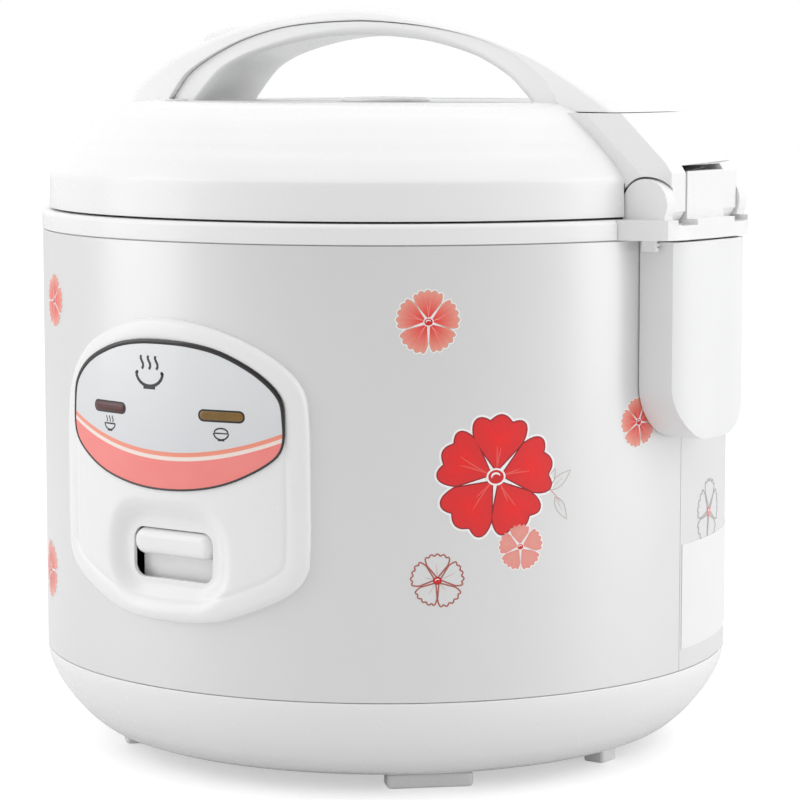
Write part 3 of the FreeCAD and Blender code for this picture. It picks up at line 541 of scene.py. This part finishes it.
HW = [(-125, 22.5), (-108, 22.0), (-90, 20.6), (-65, 18.2), (-35, 16.4), (0, 15.8), (35, 16.6), (65, 18.6), (90, 21.2), (112, 24.0), (125, 26.0)]


def half_width(x):
    pts = smooth_line(HW, 8)
    for (x0, w0), (x1, w1) in zip(pts, pts[1:]):
        if x0 <= x <= x1:
            return w0 + (w1 - w0) * (x - x0) / (x1 - x0)
    return pts[-1][1] if x > 0 else pts[0][1]


def handle_loft(name, a_pts, b_pts, n, ra, rb, dy, gap_b, crown, wide):
    """Solid between curve a (rounded outer side) and curve b, closed at both ends."""
    A = resample(smooth_line(a_pts, 8), n, False)
    B = resample(smooth_line(b_pts, 8), n, False)
    v, f, rings = [], [], []
    for (ax, az), (bx, bz) in zip(A, B):
        L = sqrt((ax - bx) ** 2 + (az - bz) ** 2)
        ux, uz = (ax - bx) / L, (az - bz) / L
        bx, bz = bx + ux * gap_b, bz + uz * gap_b
        L -= gap_b
        w = half_width(0.5 * (ax + bx)) - dy
        r1, r2 = min(ra, L * 0.8), min(rb, L * 0.3)
        ry = r1 * wide
        sec = []
        for i in range(5):
            t = radians(90 * i / 4)
            sec.append((-w + r2 - r2 * sin(pi / 2 - t) * 1.0 if False else -w + r2 * (1 - sin(t)), r2 * (1 - cos(t))))
        for i in range(9):
            t = radians(90 * i / 8)
            sec.append((-w + ry * (1 - cos(t)), L - crown - r1 * (1 - sin(t))))
        for s in (-0.66, -0.33, 0.0, 0.33, 0.66):
            sec.append((s * (w - ry), L - crown * s * s))
        m = [(-y, h) for y, h in reversed(sec[:14])]
        sec = sec + m
        ring = []
        for y, h in sec:
            ring.append(len(v))
            v.append((bx + ux * h, y, bz + uz * h))
        rings.append(ring)
    k = len(rings[0])
    for p, q in zip(rings, rings[1:]):
        for i in range(k):
            j = (i + 1) % k
            f.append((p[i], p[j], q[j], q[i]))
    f.append(tuple(rings[0]))
    f.append(tuple(reversed(rings[-1])))
    return make(name, v, f, MATS["white_abs"])


def handle():
    cov = handle_loft("p_handle_cover", HO, HS, 120, 6.0, 0.5, 0.0, 0.17, 0.6, 1.35)
    D = (0.3487, -0.9372)
    tl, tr = (-83.0, 265.0), (-62.5, 270.2)
    al = lambda p, d, s=0.0: (p[0] + D[0] * d + s * 0.9372, p[1] + D[1] * d + s * 0.3487)
    cut(cov, prism_y("c1", [al(tl, -6, -0.35), al(tr, -6, 0.35), al(tr, 11, 0.35), al(tl, 11, -0.35)], -8.6, 8.6))
    sl, sr = (-79.9, 261.0), (-76.0, 262.4)
    stem = [al(sl, 1, -0.5), al(sr, 1, 0.5), al(sr, 10.8, 0.5), al(sl, 10.8, -0.5)]
    cut(cov, prism_y("c3", stem, -3.5, 3.5))
    attach(cov, "handle_cover", 34)
    core = handle_loft("p_handle_core", HI[::1], HS, 120, 4.0, 0.4, 0.55, 0.17, 0.3, 1.0)
    cut(core, prism_y("c4", [al(tl, 2, -0.5), al(tr, 2, 0.5), al(tr, 10.4, 0.5), al(tl, 10.4, -0.5)], -8.7, 8.7))
    cut(core, prism_y("c5", stem, -3.5, 3.5))
    attach(core, "handle_core", 34)


# ------------------------------------------------------------------ front panel
OUT = [(-2.1, 168.1), (-9.1, 165.4), (-16.9, 158.0), (-21.9, 147.6), (-24.2, 135.2), (-24.5, 117), (-24.5, 91.2),
       (-24.0, 81.0), (-21.3, 74.1), (-16.0, 68.1), (-9.0, 62.7), (0.0, 61.2), (9.0, 62.7), (16.0, 68.1),
       (21.3, 74.1), (24.0, 81.0), (24.6, 91.2), (24.6, 115), (24.4, 135.4), (23.3, 146.4), (19.2, 155.4),
       (12.9, 162.5), (5.5, 167.0)]
LABEL = [(-0.4, 161.0), (-5.7, 160.3), (-10.8, 157.7), (-16.7, 151.8), (-20.3, 143.8), (-21.0, 134.0), (-20.6, 125.0),
         (-18.2, 119.0), (-12.9, 112.8), (-6.0, 109.0), (0.6, 108.0), (7.3, 109.3), (12.9, 112.8), (18.3, 119.2),
         (20.6, 125.0), (21.0, 134.0), (20.4, 143.0), (16.9, 151.0), (11.2, 157.6), (5.6, 160.4)]


def arc_loop(pts, n):
    """(azimuth deg, z) outline to (arc mm, z), smooth and evenly spaced."""
    return resample(smooth_loop([(radians(a) * RB, z) for a, z in pts], 12), n)


def pad(name, loop, steps, rings, centre, mat, back=None, bend=None):
    """A form on the cylinder: steps are (inset, radius) from the edge in, then rings run to the centre."""
    v, f = [], []
    n = len(loop)
    tiers = []
    for d, r in steps:
        L = inset(loop, d) if d else loop
        tiers.append([(u, w, r) for u, w in L])
    last = tiers[-1]
    for k in range(1, rings):
        t = k / rings
        tiers.append([(u + (centre[0] - u) * t, w + (centre[1] - w) * t, r) for u, w, r in last])
    rc = steps[-1][1]

    def place(u, w, r):
        x, y, z = on_cyl(u, w, r)
        return bend(x, y, z) if bend else (x, y, z)

    front = []
    for t in tiers:
        row = []
        for u, w, r in t:
            row.append(len(v))
            v.append(place(u, w, r))
        front.append(row)
    for p, q in zip(front, front[1:]):
        for i in range(n):
            j = (i + 1) % n
            f.append((p[i], p[j], q[j], q[i]))
    c = len(v)
    v.append(place(centre[0], centre[1], rc))
    for i in range(n):
        f.append((front[-1][i], front[-1][(i + 1) % n], c))
    if back is not None:
        rows = [front[0]]
        for t in tiers[1::2]:
            row = []
            for u, w, r in t:
                x, y, z = place(u, w, r)
                L = sqrt(x * x + y * y)
                s = max(L - back, min(L - 0.1, 129.9)) / L if not bend else (L - back) / L
                row.append(len(v))
                v.append((x * s, y * s, z))
            rows.append(row)
        for p, q in zip(rows, rows[1:]):
            for i in range(n):
                j = (i + 1) % n
                f.append((p[j], p[i], q[i], q[j]))
        c2 = len(v)
        x, y, z = v[c]
        L = sqrt(x * x + y * y)
        v.append((x * (L - back) / L, y * (L - back) / L, z))
        for i in range(n):
            f.append((rows[-1][(i + 1) % n], rows[-1][i], c2))
    return make(name, v, f, mat)


def sd_rect(x, z, cx, cz, hx, hz, r):
    qx, qz = abs(x - cx) - hx + r, abs(z - cz) - hz + r
    return sqrt(max(qx, 0) ** 2 + max(qz, 0) ** 2) + min(max(qx, qz), 0) - r


def sm(t):
    t = max(0.0, min(1.0, t))
    return t * t * (3 - 2 * t)


def dish(x, y, z):
    """The soft hollow round the press key."""
    d = sd_rect(x, z, 0.0, 85.2, 20.2, 11.4, 9.0)
    k = 1.0 - sm(d / 8.6)
    return (x, y + (-127.3 - y) * k, z)


def control_panel():
    loop = arc_loop(OUT, 240)
    steps = [(0.0, 130.06), (0.05, 130.9), (0.35, 131.7), (0.95, 132.4), (1.9, 132.85), (3.1, 133.08), (4.6, 133.18), (6.2, 133.12), (7.2, 132.92),
             (7.75, 132.72), (8.1, 132.66), (8.5, 132.74), (9.0, 132.92), (9.8, 133.02)]
    ob = pad("p_control_panel", loop, steps, 56, (0.0, 86.0), MATS["white_abs"], back=1.5, bend=dish)
    cut(ob, prism_y("c1", round_rect(18.0, 75.5, 93.4, 4.5, 10), -140, -110))
    attach(ob, "control_panel", 40)


def label():
    lab = arc_loop(LABEL, 200)

    def wide(t, p):
        return 0.8 + 1.0 * sm((p[1] - 124) / 26.0)

    inner = inset(lab, wide)
    v, f = [], []
    n = len(lab)
    prof = [(0.0, 133.0), (0.04, 133.45), (0.25, 133.66), (0.5, 133.72), (0.75, 133.66), (0.96, 133.5), (1.0, 133.0)]
    for t, r in prof:
        for a, b in zip(lab, inner):
            v.append(on_cyl(a[0] + (b[0] - a[0]) * t, a[1] + (b[1] - a[1]) * t, r))
    m = len(prof)
    for k in range(m):
        for i in range(n):
            j = (i + 1) % n
            l = (k + 1) % m
            f.append((k * n + i, k * n + j, l * n + j, l * n + i))
    attach(make("p_display_trim", v, f, MATS["dark_chrome"]), "display_trim", 50)
    film = inset(lab, lambda t, p: wide(t, p) - 0.12)
    attach(pad("p_panel_label", film, [(0.0, 133.2), (0.02, 133.42), (0.4, 133.46)], 30, (0.0, 134.5), MATS["printed_label"], back=0.2),
           "panel_label", 40)
    for node, a0, a1 in (("cook_lens", -14.6, -7.5), ("warm_lens", 7.2, 14.5)):
        u0, u1 = radians(a0) * RB, radians(a1) * RB
        loop = resample(round_rect((u1 - u0) / 2, 134.0, 137.1, 1.5, 8, (u0 + u1) / 2), 72)
        attach(pad("p_" + node, loop, [(0.0, 133.3), (0.02, 133.5), (0.2, 133.62), (0.55, 133.72), (1.0, 133.78)], 4,
                   ((u0 + u1) / 2, 135.55), MATS[SLOT[node]], back=0.3), node, 45)


# ------------------------------------------------------------------ printed decoration
class Print:
    """One body's printed shapes, as thin sheets on the cylinder."""

    def __init__(self, name):
        self.name, self.v, self.f, self.c = name, [], [], []

    def fan(self, pts, centre, r, col, col2=None, rings=5, power=1.0):
        """Star-shaped sheet; colour runs from col at the centre to col2 at the edge."""
        col2 = col2 or col
        n = len(pts)
        base = len(self.v)
        self.v.append(on_cyl(centre[0], centre[1], r))
        self.c.append(col)
        for k in range(1, rings + 1):
            t = k / rings
            for u, w in pts:
                self.v.append(on_cyl(centre[0] + (u - centre[0]) * t, centre[1] + (w - centre[1]) * t, r))
                s = t ** power
                self.c.append(tuple(a + (b - a) * s for a, b in zip(col, col2)))
        for i in range(n):
            j = (i + 1) % n
            self.f.append((base, base + 1 + i, base + 1 + j))
            for k in range(rings - 1):
                a = base + 1 + k * n
                self.f.append((a + i, a + n + i, a + n + j, a + j))

    def ribbon(self, pts, width, r, col, loop=False, taper=False):
        n = len(pts)
        base = len(self.v)
        for i in range(n):
            a = pts[i - 1] if (i > 0 or loop) else pts[0]
            b = pts[(i + 1) % n] if (i < n - 1 or loop) else pts[-1]
            tx, ty = b[0] - a[0], b[1] - a[1]
            L = sqrt(tx * tx + ty * ty) or 1.0
            w = width * 0.5
            if taper:
                w *= 0.25 + 0.75 * sin(pi * (0.08 + 0.84 * i / (n - 1)))
            for s in (-1, 1):
                self.v.append(on_cyl(pts[i][0] - s * ty / L * w, pts[i][1] + s * tx / L * w, r))
                self.c.append(col)
        for i in range(n if loop else n - 1):
            j = (i + 1) % n
            self.f.append((base + 2 * i, base + 2 * i + 1, base + 2 * j + 1, base + 2 * j))

    def build(self, body):
        me = bpy.data.meshes.new(self.name)
        me.from_pydata([(x * MM, y * MM, z * MM) for x, y, z in self.v], [], self.f)
        at = me.attributes.new("ink", "FLOAT_COLOR", "POINT")
        for i, c in enumerate(self.c):
            at.data[i].color = (*c, 1.0)
        bm = bmesh.new()
        bm.from_mesh(me)
        for fc in bm.faces:
            m = fc.calc_center_median()
            if fc.normal.x * m.x + fc.normal.y * m.y < 0:
                fc.normal_flip()
        bm.to_mesh(me)
        bm.free()
        ob = link(self.name, me, INK)
        me.shade_smooth()
        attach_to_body(ob, body)
        return ob


def petal(cx, cz, R, ang, half, seedrow, edge=0.30, ripple=0.055, lobes=2.5, start=0.10, squeeze=1.0):
    """Outline of one petal, from the flower's centre outwards, with a scalloped tip."""
    a0 = radians(ang)
    pts = [(cx + R * start * cos(a0), cz + R * start * sin(a0))]
    k = 26
    for i in range(k + 1):
        s = -1 + 2 * i / k
        th = a0 + radians(half) * s
        rr = R * (1 - edge * abs(s) ** 8) * (1 + ripple * abs(cos(lobes * pi * s + seedrow)) - ripple)
        pts.append((cx + rr * cos(th), cz + rr * sin(th)))
    return resample(pts, 84)


def centroid(p):
    return (sum(a for a, b in p) / len(p), sum(b for a, b in p) / len(p))


def grow(pts, d):
    return inset(pts, -d)


def flower(P, az, z, w, kind, turn=18.0, seed=1):
    """One five-petalled blossom, w wide, centred at azimuth az and height z."""
    rnd = random.Random(seed)
    cx, cz, R = radians(az) * RB, z, w / 2.0
    white = srgb(252, 250, 250)
    P5 = []
    for k in range(5):
        jit = rnd.uniform(-1.2, 1.2)
        P5.append(petal(cx, cz, R * rnd.uniform(0.95, 1.04), turn + 72 * k + jit, 34.6 if kind != "red" else 35.6, rnd.uniform(-0.2, 0.2), 0.24, 0.10, 2.5 if kind != "red" else 1.5))
    for p in P5:
        if kind == "red":
            P.fan(grow(p, R * 0.058), centroid(p), 130.035, white, rings=4)
        elif kind in ("pink", "salmon"):
            P.fan(grow(p, R * 0.05), centroid(p), 130.035, white, rings=4)
    for p in P5:
        if kind == "red":
            P.fan(grow(p, R * 0.022), centroid(p), 130.055, srgb(146, 18, 26), rings=4)
            P.fan(p, centroid(p), 130.075, srgb(246, 22, 20), srgb(226, 34, 36), 5)
        elif kind == "pink":
            c0 = (cx + (centroid(p)[0] - cx) * 0.12, cz + (centroid(p)[1] - cz) * 0.12)
            P.fan(grow(p, R * 0.012), centroid(p), 130.055, srgb(200, 176, 158), rings=4)
            P.fan(p, c0, 130.075, srgb(238, 30, 34), srgb(240, 160, 142), 8, 1.25)
        elif kind == "salmon":
            P.fan(p, centroid(p), 130.075, srgb(238, 160, 148), srgb(236, 150, 140), 5)
        elif kind in ("line", "grey"):
            col = srgb(176, 96, 84) if kind == "line" else srgb(176, 172, 170)
            P.ribbon(p, R * 0.055, 130.055, col, loop=True)
    for k in range(5):
        a = radians(turn + 72 * k)
        for da in (-0.16, 0.14):
            L = rnd.uniform(0.42, 0.72)
            pts = [(cx + R * t * cos(a + da * t), cz + R * t * sin(a + da * t)) for t in [0.16 + (L - 0.16) * i / 6 for i in range(7)]]
            if kind in ("red", "pink"):
                P.ribbon(pts, R * 0.022, 130.095, srgb(250, 150, 140) if kind == "pink" else srgb(240, 92, 84), taper=True)
            elif kind == "line" and da > 0:
                P.ribbon(pts, R * 0.02, 130.06, srgb(214, 176, 166), taper=True)
    ring = [(cx + R * 0.15 * cos(t * pi / 12), cz + R * 0.13 * sin(t * pi / 12)) for t in range(24)]
    dark = srgb(170, 20, 28) if kind != "grey" else srgb(232, 120, 120)
    P.fan([(cx + (a - cx) * 0.98, cz + (b - cz) * 0.98) for a, b in ring], (cx, cz), 130.10,
          srgb(214, 26, 30) if kind != "grey" else srgb(236, 140, 140), rings=2)
    P.ribbon(ring, R * 0.03, 130.115, white if kind in ("red", "pink", "salmon") else dark, loop=True)
    hook = [(cx + R * 0.075 * cos(t), cz + R * 0.06 * sin(t)) for t in [0.4 + 0.42 * i for i in range(8)]]
    P.ribbon(hook, R * 0.035, 130.13, white, taper=True)


def leaf(P, x, z, L, ang, wid, col):
    a = radians(ang)
    up, dn = [], []
    for i in range(13):
        t = i / 12
        h = wid * sin(pi * t ** 0.8) * 0.5
        for lst, s in ((up, 1), (dn, -1)):
            lst.append((x + L * t * cos(a) - s * h * sin(a), z + L * t * sin(a) + s * h * cos(a)))
    loop = up + dn[-2:0:-1]
    P.ribbon(loop, 0.22, 130.05, col, loop=True)
    P.ribbon([(x + L * t * cos(a), z + L * t * sin(a)) for t in (0, 0.3, 0.6)], 0.15, 130.05, col, taper=True)


def decoration():
    P = Print("p_blossom_print")
    flower(P, 42.4, 168.8, 21.7, "pink", 18, 3)
    flower(P, 52.9, 115.0, 42.0, "red", 12, 5)
    x0, z0 = radians(52.9) * RB, 115.0
    col = srgb(186, 170, 158)
    sprig = smooth_line([(x0 + 17, z0 - 4), (x0 + 21, z0 - 6), (x0 + 24.5, z0 - 10)], 6)
    P.ribbon(sprig, 0.3, 130.045, srgb(220, 150, 140), taper=True)
    leaf(P, x0 + 20.5, z0 - 5.5, 10.5, 38, 3.6, col)
    leaf(P, x0 + 19.5, z0 - 4.8, 7.2, 66, 2.6, col)
    leaf(P, x0 + 22.5, z0 - 8.2, 9.4, -60, 3.4, col)
    flower(P, 56.9, 90.2, 16.5, "salmon", 20, 8)
    flower(P, 43.8, 79.6, 18.7, "line", 18, 11)
    flower(P, 79.3, 130.4, 18.0, "pink", 30, 13)
    flower(P, 102.0, 92.1, 24.0, "grey", 10, 17)
    flower(P, -33.5, 169.6, 20.0, "pink", 4, 19)
    flower(P, -38.5, 67.9, 22.0, "pink", 40, 23)
    # the side away from the camera carries the same print, in a loose repeat
    for az, z, w, kind, s in ((-60, 120, 40, "red", 29), (-84, 160, 20, "pink", 31), (-72, 84, 17, "salmon", 37), (-104, 92, 19, "line", 41),
                              (-128, 130, 40, "red", 43), (-150, 168, 21, "pink", 47), (-158, 96, 18, "grey", 53), (-176, 140, 22, "pink", 59),
                              (158, 84, 17, "salmon", 61), (150, 124, 41, "red", 67), (126, 166, 21, "pink", 71), (128, 96, 18, "line", 73)):
        flower(P, az, z, w, kind, 10 + s % 40, s)
    P.build("base")


def pictograms():
    """Generic marks on the label: a bowl with steam for cooking, a covered bowl for warm, a plain bowl at the top."""
    P = Print("p_panel_marks")
    dark = srgb(34, 34, 38)
    R = 133.50

    def bowl(cx, cz, w, lines, lid):
        s = w / 2
        pts = [(cx - s, cz)] + [(cx + s * cos(a), cz + s * 0.78 * sin(a)) for a in [pi + pi * i / 12 for i in range(13)]] + [(cx + s, cz)]
        P.ribbon(pts, w * 0.095, R, dark, loop=True)
        P.ribbon([(cx - s * 0.45, cz - s * 0.86), (cx + s * 0.45, cz - s * 0.86)], w * 0.10, R, dark)
        if lid:
            top = [(cx + s * 0.9 * cos(a), cz + s * 0.12 + s * 0.5 * sin(a)) for a in [pi * i / 12 for i in range(13)]]
            P.ribbon(top, w * 0.095, R, dark)
        for k in range(lines):
            x = cx + (k - (lines - 1) / 2) * s * 0.55
            P.ribbon([(x + s * 0.1 * sin(t * 1.1), cz + s * (0.2 + 0.16 * t)) for t in range(6)], w * 0.085, R, dark)

    bowl(-25.0, 129.6, 5.6, 3, False)
    bowl(24.6, 129.6, 5.6, 0, True)
    bowl(-5.0, 149.0, 12.0, 3, False)
    for a0, a1 in ((-14.6, -7.5), (7.2, 14.5)):
        u0, u1 = radians(a0) * RB, radians(a1) * RB
        ring = resample(round_rect((u1 - u0) / 2 + 0.25, 133.75, 137.35, 1.7, 8, (u0 + u1) / 2), 72)
        P.ribbon(ring, 0.7, 133.495, srgb(16, 14, 14), loop=True)
    ob = P.build("base")
    return ob


# ------------------------------------------------------------------ the pot
def inner_pot():
    R, t, z0, zr = 105.0, 1.6, 62.0, 197.6
    prof = [(0.0, z0)]
    for i in range(11):
        a = radians(9.0 * i)
        prof.append((R - 20 + 20 * sin(a), z0 + 20 - 20 * cos(a)))
    prof += [(R, 120), (R, zr - 2.0), (R + 0.4, zr - 1.35), (R + 1.2, zr - 1.2), (R + 8.3, zr - 1.2), (R + 8.85, zr - 1.05), (R + 9.0, zr - 0.6),
             (R + 8.85, zr - 0.15), (R + 8.3, zr), (R + 0.6, zr), (R - 0.8, zr - 0.35), (R - t, zr - 1.4), (R - t, 120)]
    for i in range(10, -1, -1):
        a = radians(9.0 * i)
        prof.append((R - 20 + (20 - t) * sin(a), z0 + 20 - (20 - t) * cos(a)))
    prof.append((0.0, z0 + t))
    v, f = revolve(prof, 192, closed=False)
    ob = make("p_inner_pot", v, f, MATS["nonstick_coat"])
    attach(ob, "inner_pot", 40)
    # raised fill marks, ticks only
    v, f = [], []
    for k in range(9):
        z = 96 + k * 9.5
        half = 9.0 if k % 2 == 0 else 5.5
        for az in (180.0,):
            row = []
            for i in range(9):
                a = radians(az) + (half * (i / 4 - 1)) / 103.0
                for r, dz in ((103.38, -0.45), (103.0, -0.2), (103.0, 0.2), (103.38, 0.45)):
                    row.append(len(v))
                    v.append((r * sin(a), -r * cos(a), z + dz))
            for i in range(8):
                for j in range(4):
                    f.append((row[i * 4 + j], row[(i + 1) * 4 + j], row[(i + 1) * 4 + (j + 1) % 4], row[i * 4 + (j + 1) % 4]))
            f.append(tuple(row[0:4]))
            f.append(tuple(reversed(row[32:36])))
    ob = make("p_pot_marks", v, f, MATS["white_film"])
    finish_mesh(ob, 30, False)
    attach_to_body(ob, "base")


# ------------------------------------------------------------------ build
outer_shell()
top_ring()
base_bowl()
lid_cover()
handle()
control_panel()
label()
decoration()
pictograms()
inner_pot()

refine("rear_cover", 0.9, 3, 24)
refine("hinge_base", 0.6, 2, 28)
refine("collector_cup", 0.55, 3, 30)
refine("release_button", 1.1, 3, 26)
refine("switch_key", 0.4, 2, 34, shade=50)
refine("top_plate", 0.3, 2)
refine("vent_cap", 0.35, 2, mat=MATS["white_abs"])
refine("foot_pads", 0.9, 3)
refine("support_foot", 0.8, 3)
refine("inlet_housing", 0.6, 2)
refine("bottom_cover", 0.3, 2)
refine("lid_liner", 0.3, 2)
refine("inner_lid_plate", 0.25, 2)
refine("latch_hook", 0.3, 2)

for name, ob in NODES.items():
    m = MATS[SLOT[name]]
    if not ob.material_slots:
        ob.data.materials.append(m)
    for s in ob.material_slots:
        s.material = m


# ------------------------------------------------------------------ floor, light, camera
def floor():
    v, f = [], []
    n = 24
    for i in range(n + 1):
        for j in range(n + 1):
            v.append((-6000 + 12000 * i / n, -6000 + 12000 * j / n, 0.0))
    for i in range(n):
        for j in range(n):
            a = i * (n + 1) + j
            f.append((a, a + n + 1, a + n + 2, a + 1))
    m, nt, bs, tc = base_mat("studio_floor")
    nz = noise(nt, tc, 2.0, 2.0)
    nt.links.new(ramp(nt, nz, (0.71, 0.71, 0.71), (0.73, 0.73, 0.73)), bs.inputs["Base Color"])
    nt.links.new(rng(nt, nz, 0.55, 0.6), bs.inputs["Roughness"])
    bs.inputs["Specular IOR Level"].default_value = 0.2
    bs.inputs["Emission Color"].default_value = (1, 1, 1, 1)
    lp = nd(nt, "ShaderNodeLightPath", -600, -400)
    nt.links.new(rng(nt, lp.outputs["Is Camera Ray"], 0.05, 0.46, 0.0, 1.0), bs.inputs["Emission Strength"])
    ob = make("studio_floor", v, f, m, recalc=False)


def area(name, loc, target, sx, sy, power, spread=180.0):
    L = bpy.data.lights.new(name, "AREA")
    L.shape = "RECTANGLE"
    L.size, L.size_y = sx, sy
    L.energy = power
    L.spread = radians(spread)
    ob = bpy.data.objects.new(name, L)
    SCN.collection.objects.link(ob)
    ob.location = loc
    ob.rotation_mode = "QUATERNION"
    ob.rotation_quaternion = (Vector(target) - Vector(loc)).to_track_quat("-Z", "Y")
    return ob


floor()
H = radians(36.0)
RIGHT, AWAY = Vector((cos(H), sin(H), 0)), Vector((-sin(H), cos(H), 0))


def at_view(x, d, z):
    p = RIGHT * x + AWAY * d
    return (p.x, p.y, z)


area("soft_left", at_view(-1.25, -0.15, 0.6), (0, 0, 0.13), 0.9, 1.3, 4.2)
area("soft_right", at_view(1.25, -0.25, 0.6), (0, 0, 0.13), 0.9, 1.3, 5.4)
area("soft_top", at_view(0.0, 0.1, 1.7), (0, 0, 0.1), 1.6, 1.6, 3.5)
area("soft_front", at_view(-0.5, -1.6, 1.1), (0, 0, 0.13), 1.0, 0.8, 0.3)

W = bpy.data.worlds.new("studio")
SCN.world = W
W.use_nodes = True
nt = W.node_tree
nt.nodes.clear()
wo = nd(nt, "ShaderNodeOutputWorld", 400)
seen = nd(nt, "ShaderNodeBackground", 0, 100)
seen.inputs["Color"].default_value = (1, 1, 1, 1)
seen.inputs["Strength"].default_value = 1.0
lit = nd(nt, "ShaderNodeBackground", 0, -100)
lit.inputs["Color"].default_value = (1, 1, 1, 1)
lit.inputs["Strength"].default_value = 0.56
lp = nd(nt, "ShaderNodeLightPath", -200, 300)
mx = nd(nt, "ShaderNodeMixShader", 200)
gen = nd(nt, "ShaderNodeTexCoord", -900, -200)
dot = nd(nt, "ShaderNodeVectorMath", -700, -200, operation="DOT_PRODUCT")
dot.inputs[1].default_value = (-AWAY.x, -AWAY.y, 0.0)
nt.links.new(gen.outputs["Generated"], dot.inputs[0])
soft = nd(nt, "ShaderNodeMapRange", -450, -200, interpolation_type="SMOOTHSTEP")
for key, val in (("From Min", 0.42), ("From Max", 0.93), ("To Min", 0.97), ("To Max", 0.41)):
    soft.inputs[key].default_value = val
nt.links.new(dot.outputs["Value"], soft.inputs["Value"])
nt.links.new(soft.outputs["Result"], lit.inputs["Strength"])
nt.links.new(lp.outputs["Is Camera Ray"], mx.inputs[0])
nt.links.new(lit.outputs[0], mx.inputs[1])
nt.links.new(seen.outputs[0], mx.inputs[2])
nt.links.new(mx.outputs[0], wo.inputs[0])

SCN.view_settings.view_transform = "Standard"
SCN.view_settings.look = "None"

cam = bpy.data.cameras.new("cam")
cam.lens = 135.24
cam.sensor_width = 36.0
cam.sensor_fit = "HORIZONTAL"
cam.clip_start, cam.clip_end = 0.05, 50.0
co = bpy.data.objects.new("cam", cam)
SCN.collection.objects.link(co)
co.location = (0.6744, -0.9282, 0.2574)
yaw, pitch = 0.0047, radians(6.459)
h = AWAY * cos(yaw) + RIGHT * sin(yaw)
d = Vector((h.x * cos(pitch), h.y * cos(pitch), -sin(pitch)))
co.rotation_mode = "QUATERNION"
co.rotation_quaternion = d.to_track_quat("-Z", "Y")
SCN.camera = co
